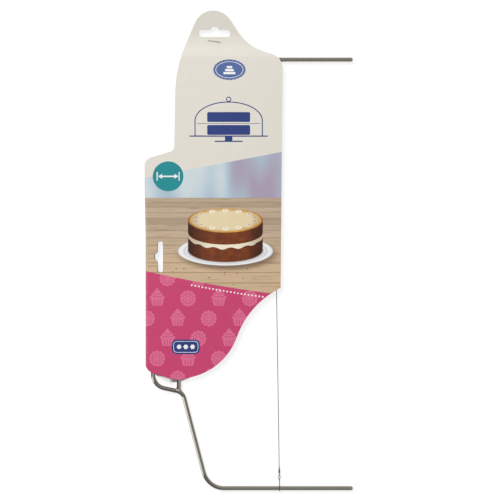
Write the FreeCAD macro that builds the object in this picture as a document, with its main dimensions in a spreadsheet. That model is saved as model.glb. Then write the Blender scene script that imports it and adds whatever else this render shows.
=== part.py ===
import FreeCAD, Part
import math
import os
from collections import namedtuple

import Sketcher

# Cake leveler in its hang card, lying flat as it is sold.
# +X runs along the legs to their tips, +Y along the cutting wire, +Z up.
# The origin is under the middle of the inner grip bar, on the card's back face.

Vector = FreeCAD.Vector

# Driving dimensions, in millimetres, degrees and counts.
SIZES = (
    # Bent rod: two legs, two sloping sides and the outer grip bar in one piece
    ("rod_diameter", "4.8"),
    ("leg_spacing", "460"),
    ("leg_length", "155.9"),
    ("side_drop", "26.9"),
    ("root_drop", "4.1"),
    ("root_span", "254.2"),
    ("handle_span", "240"),
    ("grip_gap", "27.8"),
    ("leg_bend", "23"),
    ("root_bend", "10.5"),
    ("handle_bend", "15"),
    ("tip_chamfer", "1.4"),
    # Height notches sawn across the outer side of both legs
    ("notch_count", "12"),
    ("notch_pitch", "7"),
    ("notch_depth", "0.5"),
    ("notch_width", "1"),
    ("notch_tip_margin", "8.9"),
    # Welds at the ends of the inner grip bar
    ("saddle_depth", "1.2"),
    ("weld_radius", "3.1"),
    ("weld_reach", "0.2"),
    ("weld_lip", "0.1"),
    # Cutting wire with a twisted eye at each end
    ("wire_diameter", "0.6"),
    ("wire_skew_notches", "1"),
    ("eye_length", "13.5"),
    ("eye_clearance", "0.3"),
    ("throat_bend", "9"),
    ("throat_spread", "1.1"),
    ("wire_sides", "6"),
    ("wrap_turns", "4"),
    ("wrap_pitch", "1.6"),
    ("wrap_clearance", "0.1"),
    ("wrap_lead", "2"),
    # Folded hang card
    ("card_thickness", "0.45"),
    ("card_width", "146.3"),
    ("card_clearance", "0.3"),
    ("spine_clearance", "4.35"),
    ("spine_fold", "2.5"),
    ("tongue_height", "52.8"),
    ("spine_top_margin", "3.2"),
    ("step_rise", "9.6"),
    ("bottom_inset", "6.1"),
    ("corner_rise", "10.3"),
    ("back_drop", "3.1"),
    ("back_shift", "3.4"),
    ("card_taper", "2.2"),
    ("corner_radius", "6.4"),
    ("crown_radius", "22"),
    ("flank_radius", "139"),
    ("neck_radius", "55"),
    ("waist_radius", "45"),
    ("belly_radius", "57"),
    ("heel_radius", "15"),
    ("foot_radius", "10"),
    ("pinch_length", "12"),
    ("pinch_bend", "12"),
    # Hang slots
    ("slot_length", "33"),
    ("slot_height", "7.4"),
    ("slot_hump", "3.2"),
    ("slot_hump_width", "10.4"),
    ("slot_corner", "2.4"),
    ("top_slot_rise", "28.1"),
    ("side_slot_height", "6"),
    ("side_slot_offset", "7.9"),
    ("side_slot_rise", "18.4"),
    # Staple
    ("staple_wire", "0.6"),
    ("staple_crown", "13"),
    ("staple_clinch", "4.5"),
    ("staple_bend", "0.45"),
    ("staple_hole_clearance", "0.15"),
    ("staple_rise", "19.5"),
    ("staple_turn", "-8"),
    # Overrun of every cutting profile
    ("overrun", "5"),
)

# Places that several pieces share, as expressions of the driving dimensions.
ROD_RADIUS = "(dim.rod_diameter / 2)"
LEG_Y = "(dim.leg_spacing / 2)"
LEG_CORNER_X = "(dim.root_drop + dim.side_drop)"
TIP_X = f"({LEG_CORNER_X} + dim.leg_length)"
NOTCH_RUN = "((dim.notch_count - 1) * dim.notch_pitch)"
FIRST_NOTCH_X = f"({TIP_X} - dim.notch_tip_margin - {NOTCH_RUN})"
WIRE_SKEW = "(dim.wire_skew_notches * dim.notch_pitch)"
WIRE_RADIUS = "(dim.wire_diameter / 2)"
WIRE_HALF = f"(sqrt({LEG_Y} ^ 2 + ({WIRE_SKEW} / 2) ^ 2))"
EYE_RADIUS = f"({ROD_RADIUS} + dim.eye_clearance + {WIRE_RADIUS})"
POCKET_HALF = f"({EYE_RADIUS} + {WIRE_RADIUS} + dim.card_clearance)"
CARD_HALF = f"({POCKET_HALF} + dim.card_thickness)"
MID_Z = CARD_HALF
SIDE_RUN = f"({LEG_Y} - dim.root_span / 2)"
SIDE_LENGTH = f"(sqrt(dim.side_drop ^ 2 + {SIDE_RUN} ^ 2))"
SHOULDER_DROP = "(dim.grip_gap + dim.root_drop)"
SHOULDER_RUN = "((dim.root_span - dim.handle_span) / 2)"
SHOULDER_LENGTH = f"(sqrt({SHOULDER_DROP} ^ 2 + {SHOULDER_RUN} ^ 2))"

# Bend between the sloping side and the shoulder: the cosine of its corner, its centre and its reach.
ROOT_DOT = f"(dim.side_drop * {SHOULDER_DROP} + {SIDE_RUN} * {SHOULDER_RUN})"
ROOT_COSINE = f"(-{ROOT_DOT} / {SIDE_LENGTH} / {SHOULDER_LENGTH})"
ROOT_SCALE = f"(dim.root_bend / sqrt(1 - {ROOT_COSINE} ^ 2))"
ROOT_LEAN_X = f"(dim.side_drop / {SIDE_LENGTH} - {SHOULDER_DROP} / {SHOULDER_LENGTH})"
ROOT_LEAN_Y = f"({SIDE_RUN} / {SIDE_LENGTH} - {SHOULDER_RUN} / {SHOULDER_LENGTH})"
ROOT_CENTRE_X = f"(dim.root_drop + {ROOT_SCALE} * {ROOT_LEAN_X})"
ROOT_CENTRE_Y = f"(dim.root_span / 2 + {ROOT_SCALE} * {ROOT_LEAN_Y})"
ROOT_REACH = f"({ROOT_SCALE} * (1 + {ROOT_COSINE}) * {SHOULDER_DROP} / {SHOULDER_LENGTH})"

# Place and slope of the bent rod's axis where the inner grip bar meets it, on the bend or past it.
ON_BEND = f"{ROOT_REACH} > dim.root_drop"
BEND_DEPTH = f"sqrt(dim.root_bend ^ 2 - {ROOT_CENTRE_X} ^ 2)"
LINE_SLOPE = f"{SHOULDER_RUN} / {SHOULDER_DROP}"
LINE_Y = f"dim.handle_span / 2 + dim.grip_gap * {LINE_SLOPE}"
JOIN_Y = f"({ON_BEND} ? {ROOT_CENTRE_Y} - {BEND_DEPTH} : {LINE_Y})"
JOIN_SLOPE = f"({ON_BEND} ? -{ROOT_CENTRE_X} / {BEND_DEPTH} : {LINE_SLOPE})"
JOIN_STRETCH = f"(sqrt(1 + {JOIN_SLOPE} ^ 2))"

# Places on the card, and of its fold and pinch.
CARD_LEFT = f"(-dim.grip_gap - {ROD_RADIUS} - dim.spine_clearance - dim.card_thickness)"
CARD_BOTTOM = "(dim.bottom_inset - dim.handle_span / 2)"
CARD_TOP = f"({LEG_Y} + dim.tongue_height)"
CARD_HEIGHT = f"({CARD_TOP} - {CARD_BOTTOM})"
SPINE_TOP = "(dim.handle_span / 2 + dim.spine_top_margin)"
PINCH_START = f"({LEG_Y} + {EYE_RADIUS} + {WIRE_RADIUS})"
PINCH_END = f"({PINCH_START} + dim.pinch_length)"

# Shares of the card's width from its left edge, and of the tongue's height from the leg's axis.
FLANK_X_SHARE = 0.213
FLANK_Y_SHARE = -0.136
APEX_X_SHARE = 0.465
APEX_Y_SHARE = 1.413
NECK_X_SHARE = 0.746
NECK_Y_SHARE = 0.288
SHOULDER_Y_SHARE = 0.061
STEP_X_SHARE = 0.204
WAIST_X_SHARE = 0.776
BELLY_X_SHARE = 0.548
HEEL_X_SHARE = 0.232
HANG_X_SHARE = 0.5
# Shares of the card's height from its bottom edge.
WINDOW_Y_SHARE = 0.25
WAIST_Y_SHARE = 0.202
BELLY_Y_SHARE = 0.036
# Largest radius of the bottom edge's long curve, as a share of the card's width.
BELLY_LIMIT_SHARE = 0.4
# Share of the slot's hump that is flat on top.
HUMP_FLAT_SHARE = 0.4
# Spacing of the points that test the wire, as a share of its diameter.
TEST_STEP_SHARE = 0.25
# Halvings that find the angle of the eye's sides.
HALVINGS = 60

HANG_X = f"({CARD_LEFT} + {HANG_X_SHARE} * dim.card_width)"

# A corner of a path or outline: its place, and the radius that rounds it (empty for a sharp one).
Corner = namedtuple("Corner", "x y bend", defaults=("",))
Round = namedtuple("Round", "start end centre radius leftward")

doc = FreeCAD.newDocument("cake_leveler")
dim = doc.addObject("Spreadsheet::Sheet", "dim")
for row, (alias, text) in enumerate(SIZES, start=1):
    dim.set(f"A{row}", alias)
    dim.set(f"B{row}", text)
    dim.setAlias(f"B{row}", alias)
doc.recompute()


def value(expression):
    """Number that an expression of the driving dimensions stands for."""
    return float(dim.evalExpression(expression))


def plane(body, role):
    """Origin plane of a body, by its role."""
    return next(f for f in body.Origin.OriginFeatures if f.Role == role)


def new_body(name):
    """Empty body that becomes the node of that name."""
    body = doc.addObject("PartDesign::Body", name)
    body.Label = name
    return body


def new_sketch(body, role, name):
    """Sketch on one of the body's origin planes."""
    sketch = body.newObject("Sketcher::SketchObject", name)
    sketch.AttachmentSupport = [(plane(body, role), "")]
    sketch.MapMode = "FlatFace"
    return sketch


def drive(sketch, constraint, name, expression):
    """Adds a dimension to a sketch and binds it to an expression."""
    index = sketch.addConstraint(constraint)
    sketch.renameConstraint(index, name)
    sketch.setExpression(f"Constraints.{name}", expression)


def round_of(before, corner, after, radius):
    """Arc of a radius that is tangent to both runs at a corner."""
    back = (before - corner).normalize()
    ahead = (after - corner).normalize()
    half = back.getAngle(ahead) / 2
    setback = radius / math.tan(half)
    inward = (back + ahead).normalize()
    centre = corner + inward * (radius / math.sin(half))
    leftward = back.cross(ahead).z < 0
    return Round(corner + back * setback, corner + ahead * setback, centre, radius, leftward)


def add_round(sketch, bend):
    """Draws a corner's arc and returns its number and the ends that meet the runs."""
    def angle(point):
        return math.atan2(point.y - bend.centre.y, point.x - bend.centre.x)
    circle = Part.Circle(bend.centre, Vector(0, 0, 1), bend.radius)
    first, last = (bend.start, bend.end) if bend.leftward else (bend.end, bend.start)
    arc = sketch.addGeometry(Part.ArcOfCircle(circle, angle(first), angle(last)))
    return (arc, 1, 2) if bend.leftward else (arc, 2, 1)


def draw(sketch, corners, closed, prefix="corner"):
    """Draws runs with rounded corners, each corner and radius bound to its expressions."""
    points = [Vector(value(c.x), value(c.y), 0) for c in corners]
    count = len(points)
    bends = {}
    for i, corner in enumerate(corners):
        if corner.bend:
            neighbours = points[i - 1], points[(i + 1) % count]
            bends[i] = round_of(neighbours[0], points[i], neighbours[1], value(corner.bend))
    runs = []
    for i in range(count if closed else count - 1):
        j = (i + 1) % count
        start = bends[i].end if i in bends else points[i]
        end = bends[j].start if j in bends else points[j]
        runs.append(sketch.addGeometry(Part.LineSegment(start, end)))
    for i, corner in enumerate(corners):
        before = runs[i - 1] if closed or i > 0 else None
        after = runs[i] if i < len(runs) else None
        if i in bends:
            arc, arc_start, arc_end = add_round(sketch, bends[i])
            sketch.addConstraint(Sketcher.Constraint("Tangent", before, 2, arc, arc_start))
            sketch.addConstraint(Sketcher.Constraint("Tangent", arc, arc_end, after, 1))
            point = sketch.addGeometry(Part.Point(points[i]), True)
            end = 1
            sketch.addConstraint(Sketcher.Constraint("PointOnObject", point, end, before))
            sketch.addConstraint(Sketcher.Constraint("PointOnObject", point, end, after))
            radius = Sketcher.Constraint("Radius", arc, bends[i].radius)
            drive(sketch, radius, f"{prefix}_{i}_bend", corner.bend)
        else:
            if before is not None and after is not None:
                sketch.addConstraint(Sketcher.Constraint("Coincident", before, 2, after, 1))
            point, end = (after, 1) if after is not None else (before, 2)
        along = Sketcher.Constraint("DistanceX", -1, 1, point, end, points[i].x)
        across = Sketcher.Constraint("DistanceY", -1, 1, point, end, points[i].y)
        drive(sketch, along, f"{prefix}_{i}_x", corner.x)
        drive(sketch, across, f"{prefix}_{i}_y", corner.y)
    return sketch


def draw_circle(sketch, x, y, radius, prefix="circle"):
    """Draws a circle whose centre and radius are bound to expressions."""
    centre = Vector(value(x), value(y), 0)
    ring = sketch.addGeometry(Part.Circle(centre, Vector(0, 0, 1), value(radius)))
    drive(sketch, Sketcher.Constraint("DistanceX", -1, 1, ring, 3, centre.x), f"{prefix}_x", x)
    drive(sketch, Sketcher.Constraint("DistanceY", -1, 1, ring, 3, centre.y), f"{prefix}_y", y)
    drive(sketch, Sketcher.Constraint("Radius", ring, value(radius)), f"{prefix}_radius", radius)
    return sketch


def lift(item, x="0", y="0", z=MID_Z):
    """Binds the place of a piece to expressions."""
    for axis, expression in zip("xyz", (x, y, z)):
        item.setExpression(f"Placement.Base.{axis}", expression)


def cut(body, kind, sketch, name, **settings):
    """Adds a cut to a body and makes sure that it takes material away."""
    doc.recompute()
    before = body.Shape.Volume
    feature = body.newObject(kind, name)
    feature.Profile = sketch
    for key, setting in settings.items():
        setattr(feature, key, setting)
    doc.recompute()
    if not body.Shape.Volume < before:
        raise RuntimeError(f"{name} takes nothing off {body.Label}")
    return feature


def pipe_along(body, path, section, name):
    """Sweeps a section along a path sketch."""
    pipe = body.newObject("PartDesign::AdditivePipe", name)
    pipe.Profile = section
    pipe.Spine = path
    doc.recompute()
    return pipe


def make_frame_rod():
    """Bent rod with chamfered tips and a row of notches across the outer side of each leg."""
    body = new_body("frame_rod")
    lift(body)
    half = [
        Corner(TIP_X, LEG_Y),
        Corner(LEG_CORNER_X, LEG_Y, "dim.leg_bend"),
        Corner("dim.root_drop", "dim.root_span / 2", "dim.root_bend"),
        Corner("-dim.grip_gap", "dim.handle_span / 2", "dim.handle_bend"),
    ]
    mirrored = [Corner(c.x, f"-({c.y})", c.bend) for c in reversed(half)]
    path = draw(new_sketch(body, "XY_Plane", "rod_path"), half + mirrored, closed=False)
    section = new_sketch(body, "YZ_Plane", "rod_section")
    section.setExpression("AttachmentOffset.Base.z", TIP_X)
    draw_circle(section, LEG_Y, "0", ROD_RADIUS)
    pipe = pipe_along(body, path, section, "rod")

    tip_x = value(TIP_X)
    tips = [
        f"Edge{i}" for i, edge in enumerate(pipe.Shape.Edges, start=1)
        if min(v.X for v in edge.Vertexes) > tip_x - value(ROD_RADIUS)
        and edge.BoundBox.XLength < value("dim.tip_chamfer")
    ]
    chamfer = body.newObject("PartDesign::Chamfer", "tip_chamfers")
    chamfer.Base = (pipe, tips)
    chamfer.setExpression("Size", "dim.tip_chamfer")
    doc.recompute()

    for side, sign in (("upper", "1"), ("lower", "-1")):
        left = f"{FIRST_NOTCH_X} - dim.notch_width / 2"
        right = f"{FIRST_NOTCH_X} + dim.notch_width / 2"
        floor = f"{sign} * ({LEG_Y} + {ROD_RADIUS} - dim.notch_depth)"
        brim = f"{sign} * ({LEG_Y} + {ROD_RADIUS} + dim.overrun)"
        outline = [Corner(left, floor), Corner(right, floor), Corner(right, brim), Corner(left, brim)]
        profile = draw(new_sketch(body, "XY_Plane", f"{side}_notch_outline"), outline, closed=True)
        notch = cut(body, "PartDesign::Pocket", profile, f"{side}_notch",
                    Type="ThroughAll", SideType="Symmetric")
        row = body.newObject("PartDesign::LinearPattern", f"{side}_notch_row")
        row.Originals = [notch]
        row.Direction = (profile, ["H_Axis"])
        row.setExpression("Length", NOTCH_RUN)
        row.setExpression("Occurrences", "dim.notch_count")
        body.Tip = row
        doc.recompute()
    return body


def make_grip_bar(frame_rod):
    """Inner grip bar, its ends cut along the bent rod where they meet it, and coped over it."""
    rod = doc.addObject("Part::Cylinder", "grip_bar_rod")
    rod.Placement.Rotation = FreeCAD.Rotation(Vector(1, 0, 0), -90)
    rod.setExpression("Radius", ROD_RADIUS)
    rod.setExpression("Height", f"2 * {LEG_Y}")
    lift(rod, y=f"-{LEG_Y}")

    blank = new_body("grip_bar_blank")
    inset = f"({ROD_RADIUS} - dim.saddle_depth) * {JOIN_STRETCH}"
    wide = f"{JOIN_Y} + {ROD_RADIUS} * {JOIN_SLOPE} - {inset}"
    narrow = f"{JOIN_Y} - {ROD_RADIUS} * {JOIN_SLOPE} - {inset}"
    outline = [
        Corner(ROD_RADIUS, f"-({wide})"),
        Corner(ROD_RADIUS, wide),
        Corner(f"-{ROD_RADIUS}", narrow),
        Corner(f"-{ROD_RADIUS}", f"-({narrow})"),
    ]
    slab = blank.newObject("PartDesign::Pad", "grip_bar_slab")
    slab.Profile = draw(new_sketch(blank, "XY_Plane", "grip_bar_outline"), outline, closed=True)
    slab.SideType = "Symmetric"
    slab.setExpression("Length", "dim.rod_diameter + dim.overrun")
    lift(blank)
    doc.recompute()

    cropped = doc.addObject("Part::Common", "grip_bar_cropped")
    cropped.Base = rod
    cropped.Tool = blank
    bar = doc.addObject("Part::Cut", "grip_bar")
    bar.Base = cropped
    bar.Tool = frame_rod
    bar.Label = "grip_bar"
    return bar


def make_weld(name, side, frame_rod, grip_bar):
    """Weld bead in the corner between the grip bar's end and the bent rod."""
    bead = new_body(f"{name}_bead")
    lip = f"{ROD_RADIUS} + dim.weld_lip"
    seam = f"({JOIN_Y} - {ROD_RADIUS})"
    lean = f"{ROD_RADIUS} * {JOIN_STRETCH} + dim.weld_radius * abs({JOIN_SLOPE})"
    foot = f"{side} * ({JOIN_Y} - ({lean}) - dim.weld_reach)"
    crest = f"{side} * {JOIN_Y}"
    outline = [
        Corner("0", foot),
        Corner(lip, foot),
        Corner("dim.weld_radius", f"{side} * {seam}"),
        Corner(lip, crest),
        Corner("0", crest),
    ]
    turned = bead.newObject("PartDesign::Revolution", f"{name}_turned")
    turned.Profile = draw(new_sketch(bead, "XY_Plane", f"{name}_outline"), outline, closed=True)
    turned.ReferenceAxis = (turned.Profile[0], ["V_Axis"])
    lift(bead)
    doc.recompute()
    on_rod = doc.addObject("Part::Cut", f"{name}_on_rod")
    on_rod.Base = bead
    on_rod.Tool = frame_rod
    weld = doc.addObject("Part::Cut", name)
    weld.Base = on_rod
    weld.Tool = grip_bar
    weld.Label = name
    return weld


def place_on_wire(item, x, y, turn="0 deg"):
    """Lays a piece along the wire, one end of which sits a notch lower than the other."""
    lift(item, x, y)
    item.setExpression("Placement.Rotation.Angle", f"{turn} + atan({WIRE_SKEW} / dim.leg_spacing)")


def make_cutting_wire():
    """Straight strand between the throats of the two eyes."""
    body = new_body("cutting_wire")
    section = draw_circle(new_sketch(body, "XZ_Plane", "strand_section"), "0", "0", WIRE_RADIUS)
    strand = body.newObject("PartDesign::Pad", "strand")
    strand.Profile = section
    strand.SideType = "Symmetric"
    strand.setExpression("Length", f"2 * ({WIRE_HALF} - dim.eye_length)")
    place_on_wire(body, f"{FIRST_NOTCH_X} + {WIRE_SKEW} / 2", "0")
    return body


def arc_from(start, heading, end):
    """Arc that leaves a point along a heading and ends at another point."""
    chord = end - start
    bulge = heading - chord * (heading.dot(chord) / chord.dot(chord))
    swing = heading.getAngle(chord)
    middle = start + chord / 2 + bulge.normalize() * (chord.Length / 2 * math.tan(swing / 2))
    return Part.Arc(start, middle, end)


def biarc(start, heading, end, arrival):
    """Two tangent arcs between two points with given directions."""
    chord = end - start
    total = heading + arrival
    spread = 2 * (1 - heading.dot(arrival))
    along = chord.dot(total)
    reach = (math.sqrt(along ** 2 + spread * chord.dot(chord)) - along) / spread
    middle = (start + heading * reach + end - arrival * reach) / 2
    first = arc_from(start, heading, middle)
    second = arc_from(end, -arrival, middle)
    second.reverse()
    return [first, second]


def eye_path():
    """Centreline of one eye: out of the strand, round the leg, back and round the strand."""
    length = value("dim.eye_length")
    radius = value(EYE_RADIUS)
    diameter = value("dim.wire_diameter")
    bend = value("dim.throat_bend")
    spread = value("dim.throat_spread")
    strand_end = Vector(0, -length, 0)
    bend_start = strand_end + Vector(0, diameter, 0)

    # The outgoing side leaves the strand's axis by an arc and runs tangent to the loop.
    def miss(angle):
        return radius / math.sin(angle) + bend * math.tan(angle / 2) - (length - diameter)
    low, high = math.asin(radius / length), math.pi / 2
    for _ in range(HALVINGS):
        middle = (low + high) / 2
        low, high = (middle, high) if miss(middle) > 0 else (low, middle)
    rise = low
    out = Vector(0, math.cos(rise), math.sin(rise))
    bend_end = bend_start + Vector(0, bend * math.sin(rise), bend * (1 - math.cos(rise)))
    loop_start = Vector(0, -radius * math.sin(rise), radius * math.cos(rise))

    # The returning side keeps clear of the outgoing one and ends beside the strand.
    throat = Vector(0, -length, -spread)
    fall = math.asin(radius / throat.Length) - math.atan2(spread, length)
    home = Vector(0, -math.cos(fall), math.sin(fall))
    loop_end = Vector(0, -radius * math.sin(fall), -radius * math.cos(fall))
    loop_top = Vector(0, radius, 0)

    runs = [
        Part.LineSegment(strand_end, bend_start),
        arc_from(bend_start, Vector(0, 1, 0), bend_end),
        Part.LineSegment(bend_end, loop_start),
        arc_from(loop_start, out, loop_top),
        arc_from(loop_top, Vector(0, 0, -1), loop_end),
        Part.LineSegment(loop_end, throat),
    ]

    # The tail winds round the strand, away from the leg, in half turns.
    around = diameter + value("dim.wrap_clearance")
    rate = value("dim.wrap_pitch") / (2 * math.pi)
    start_y = -length - value("dim.wrap_lead")
    point, heading = throat, home
    for half in range(1, int(2 * value("dim.wrap_turns")) + 1):
        turn = half * math.pi
        sine, cosine = math.sin(turn), math.cos(turn)
        following = Vector(around * sine, start_y - rate * turn, -around * cosine)
        arrival = Vector(around * cosine, -rate, around * sine).normalize()
        runs += biarc(point, heading, following, arrival)
        point, heading = following, arrival
    runs.append(Part.LineSegment(point, point + heading * diameter))
    return Part.Wire([run.toShape() for run in runs])


def least_gap(path, diameter, apart):
    """Least clear distance of a tube to itself, between points further apart than a length."""
    step = diameter * TEST_STEP_SHARE
    points = path.discretize(Distance=step)
    skip = int(apart / step)
    gaps = [
        points[i].distanceToPoint(points[j])
        for i in range(len(points)) for j in range(i + skip, len(points))
    ]
    return min(gaps) - diameter


def make_wire_eye(name, x, y, turn):
    """Eye of the wire round a leg, with its tail wound round the strand, as one tube."""
    path = eye_path()
    diameter = value("dim.wire_diameter")
    start = path.OrderedVertexes[0].Point
    sides = int(value("dim.wire_sides"))
    step = 2 * math.pi / sides
    corners = [
        start + Vector(math.cos(i * step), 0, math.sin(i * step)) * (diameter / 2)
        for i in range(sides + 1)
    ]
    tube = path.makePipeShell([Part.makePolygon(corners)], True, False)
    section = sides * math.sin(step) * diameter ** 2 / 8
    share = tube.Volume / (path.Length * section)
    gap = least_gap(path, diameter, math.pi * (diameter + value("dim.wrap_clearance")))
    print(f"{name}: least gap to itself {gap:.2f} mm, volume share {share:.4f}")
    eye = doc.addObject("Part::Feature", name)
    eye.Shape = tube
    eye.Label = name
    place_on_wire(eye, x, y, turn)
    return eye


def card_outline(bottom, shift):
    """Outline of one panel of the card, from the step up over the tongue and back."""
    def x(share):
        return f"{CARD_LEFT} + {share} * dim.card_width"

    def y(share):
        return f"{LEG_Y} + {share} * dim.tongue_height"

    def height(share):
        return f"{CARD_BOTTOM} + {share} * {CARD_HEIGHT}"
    left = f"{CARD_LEFT} - dim.card_thickness"
    belly = f"min(dim.belly_radius; {BELLY_LIMIT_SHARE} * dim.card_width)"
    return [
        Corner(left, SPINE_TOP, "dim.corner_radius"),
        Corner(x(STEP_X_SHARE), f"{SPINE_TOP} + dim.step_rise", "dim.corner_radius"),
        Corner(x(FLANK_X_SHARE), y(FLANK_Y_SHARE), "dim.flank_radius"),
        Corner(x(APEX_X_SHARE), y(APEX_Y_SHARE), "dim.crown_radius"),
        Corner(x(NECK_X_SHARE), y(NECK_Y_SHARE), "dim.neck_radius"),
        Corner(x(1), y(SHOULDER_Y_SHARE), "dim.corner_radius"),
        Corner(f"{x(1)} - dim.card_taper", height(WINDOW_Y_SHARE)),
        Corner(x(WAIST_X_SHARE), height(WAIST_Y_SHARE), "dim.waist_radius"),
        Corner(x(BELLY_X_SHARE), height(BELLY_Y_SHARE), belly),
        Corner(f"{x(HEEL_X_SHARE)} - {shift}", bottom, "dim.heel_radius"),
        Corner(left, f"{CARD_BOTTOM} + dim.corner_rise", "dim.foot_radius"),
    ]


def frame_corners(grow):
    """Rectangle that stands outside the card on every side."""
    left = f"{CARD_LEFT} - {grow}"
    right = f"{CARD_LEFT} + dim.card_width + {grow}"
    low = f"{CARD_BOTTOM} - dim.back_drop - {grow}"
    high = f"{CARD_TOP} + {grow}"
    return [Corner(left, low), Corner(right, low), Corner(right, high), Corner(left, high)]


def slot_corners(length, height):
    """Hang slot about its own centre: a bar with a rounded hump in the middle of one side."""
    end = f"({length} / 2)"
    side = f"({height} / 2)"
    foot = "(dim.slot_hump_width / 2)"
    top = f"({foot} * {HUMP_FLAT_SHARE})"
    crest = f"({side} + dim.slot_hump)"
    toe = "(dim.slot_hump / 2)"
    return [
        Corner(f"-{end}", f"-{side}", "dim.slot_corner"),
        Corner(end, f"-{side}", "dim.slot_corner"),
        Corner(end, side, "dim.slot_corner"),
        Corner(foot, side, toe),
        Corner(top, crest, toe),
        Corner(f"-{top}", crest, toe),
        Corner(f"-{foot}", side, toe),
        Corner(f"-{end}", side, "dim.slot_corner"),
    ]


def make_hang_card():
    """Card folded round the outer grip bar, its two panels drawn together in the tongue."""
    body = new_body("hang_card")
    lift(body)
    right = f"{CARD_LEFT} + dim.card_width + dim.overrun"
    inner_left = f"{CARD_LEFT} + dim.card_thickness"
    inner_fold = "dim.spine_fold - dim.card_thickness"
    section = [
        Corner(right, CARD_HALF),
        Corner(CARD_LEFT, CARD_HALF, "dim.spine_fold"),
        Corner(CARD_LEFT, f"-{CARD_HALF}", "dim.spine_fold"),
        Corner(right, f"-{CARD_HALF}"),
        Corner(right, f"-{POCKET_HALF}"),
        Corner(inner_left, f"-{POCKET_HALF}", inner_fold),
        Corner(inner_left, POCKET_HALF, inner_fold),
        Corner(right, POCKET_HALF),
    ]
    sleeve = body.newObject("PartDesign::Pad", "sleeve")
    sleeve.Profile = draw(new_sketch(body, "XZ_Plane", "sleeve_section"), section, closed=True)
    sleeve.SideType = "Two sides"
    sleeve.setExpression("Length", f"-{CARD_BOTTOM} + dim.back_drop + dim.overrun")
    sleeve.setExpression("Length2", LEG_Y)
    doc.recompute()

    top = f"{CARD_TOP} + dim.overrun"
    upper = [
        Corner(LEG_Y, CARD_HALF),
        Corner(PINCH_START, CARD_HALF, "dim.pinch_bend"),
        Corner(PINCH_END, "dim.card_thickness", "dim.pinch_bend"),
        Corner(top, "dim.card_thickness"),
    ]
    lower = [Corner(c.x, f"-{c.y}", c.bend) for c in reversed(upper)]
    inside = [
        Corner(LEG_Y, f"-{POCKET_HALF}"),
        Corner(PINCH_START, f"-{POCKET_HALF}", "dim.pinch_bend"),
        Corner(PINCH_END, "0"),
        Corner(PINCH_START, POCKET_HALF, "dim.pinch_bend"),
        Corner(LEG_Y, POCKET_HALF),
    ]
    fork = new_sketch(body, "YZ_Plane", "tongue_section")
    tongue = body.newObject("PartDesign::Pad", "tongue")
    tongue.Profile = draw(fork, upper + lower + inside, closed=True)
    tongue.SideType = "Two sides"
    tongue.setExpression("Length", right)
    tongue.setExpression("Length2", f"-{CARD_LEFT}")
    doc.recompute()

    panels = (
        ("front", CARD_BOTTOM, "0", False),
        ("back", f"{CARD_BOTTOM} - dim.back_drop", "dim.back_shift", True),
    )
    for panel, bottom, shift, below in panels:
        trim = new_sketch(body, "XY_Plane", f"{panel}_outline")
        draw(trim, frame_corners("2 * dim.overrun"), closed=True, prefix="margin")
        draw(trim, card_outline(bottom, shift), closed=True)
        cut(body, "PartDesign::Pocket", trim, f"{panel}_trim",
            Type="ThroughAll", Reversed=not below)

    top_slot = slot_corners("dim.slot_length", "dim.slot_height")
    side_slot = slot_corners("dim.slot_length", "dim.side_slot_height")
    side_x = "dim.side_slot_offset - dim.grip_gap"
    moved = {
        "top": [Corner(f"{HANG_X} + {c.x}", f"{LEG_Y} + dim.top_slot_rise + {c.y}", c.bend)
                for c in top_slot],
        "side": [Corner(f"{side_x} - {c.y}", f"dim.side_slot_rise + {c.x}", c.bend)
                 for c in side_slot],
    }
    for place, corners in moved.items():
        slot = draw(new_sketch(body, "XY_Plane", f"{place}_slot_outline"), corners, closed=True)
        cut(body, "PartDesign::Pocket", slot, f"{place}_slot", Type="ThroughAll", SideType="Symmetric")

    holes = new_sketch(body, "XY_Plane", "staple_hole_outline")
    radius = "dim.staple_wire / sqrt(2) + dim.staple_hole_clearance"
    for side, name in ((1, "right"), (-1, "left")):
        reach = f"{side} * dim.staple_crown / 2"
        x = f"{HANG_X} + {reach} * cos(dim.staple_turn * 1 deg)"
        y = f"{LEG_Y} + dim.staple_rise + {reach} * sin(dim.staple_turn * 1 deg)"
        draw_circle(holes, x, y, radius, prefix=name)
    cut(body, "PartDesign::Pocket", holes, "staple_holes", Type="ThroughAll", SideType="Symmetric")
    return body


def make_staple():
    """Staple through both panels of the tongue, its ends folded flat on the back."""
    body = new_body("card_staple")
    half = "(dim.staple_crown / 2)"
    seat = "(dim.card_thickness + dim.staple_wire / 2)"
    fold = f"({half} - dim.staple_clinch)"
    path = [
        Corner(f"-{fold}", f"-{seat}"),
        Corner(f"-{half}", f"-{seat}", "dim.staple_bend"),
        Corner(f"-{half}", seat, "dim.staple_bend"),
        Corner(half, seat, "dim.staple_bend"),
        Corner(half, f"-{seat}", "dim.staple_bend"),
        Corner(fold, f"-{seat}"),
    ]
    spine = draw(new_sketch(body, "XZ_Plane", "staple_path"), path, closed=False)
    section = new_sketch(body, "YZ_Plane", "staple_section")
    section.setExpression("AttachmentOffset.Base.z", f"-{fold}")
    edge = "dim.staple_wire / 2"
    low = f"-{seat} - {edge}"
    high = f"-{seat} + {edge}"
    square = [Corner(f"-{edge}", low), Corner(edge, low), Corner(edge, high), Corner(f"-{edge}", high)]
    draw(section, square, closed=True)
    pipe_along(body, spine, section, "staple_wire")
    lift(body, x=HANG_X, y=f"{LEG_Y} + dim.staple_rise")
    body.setExpression("Placement.Rotation.Angle", "dim.staple_turn")
    return body


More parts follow.
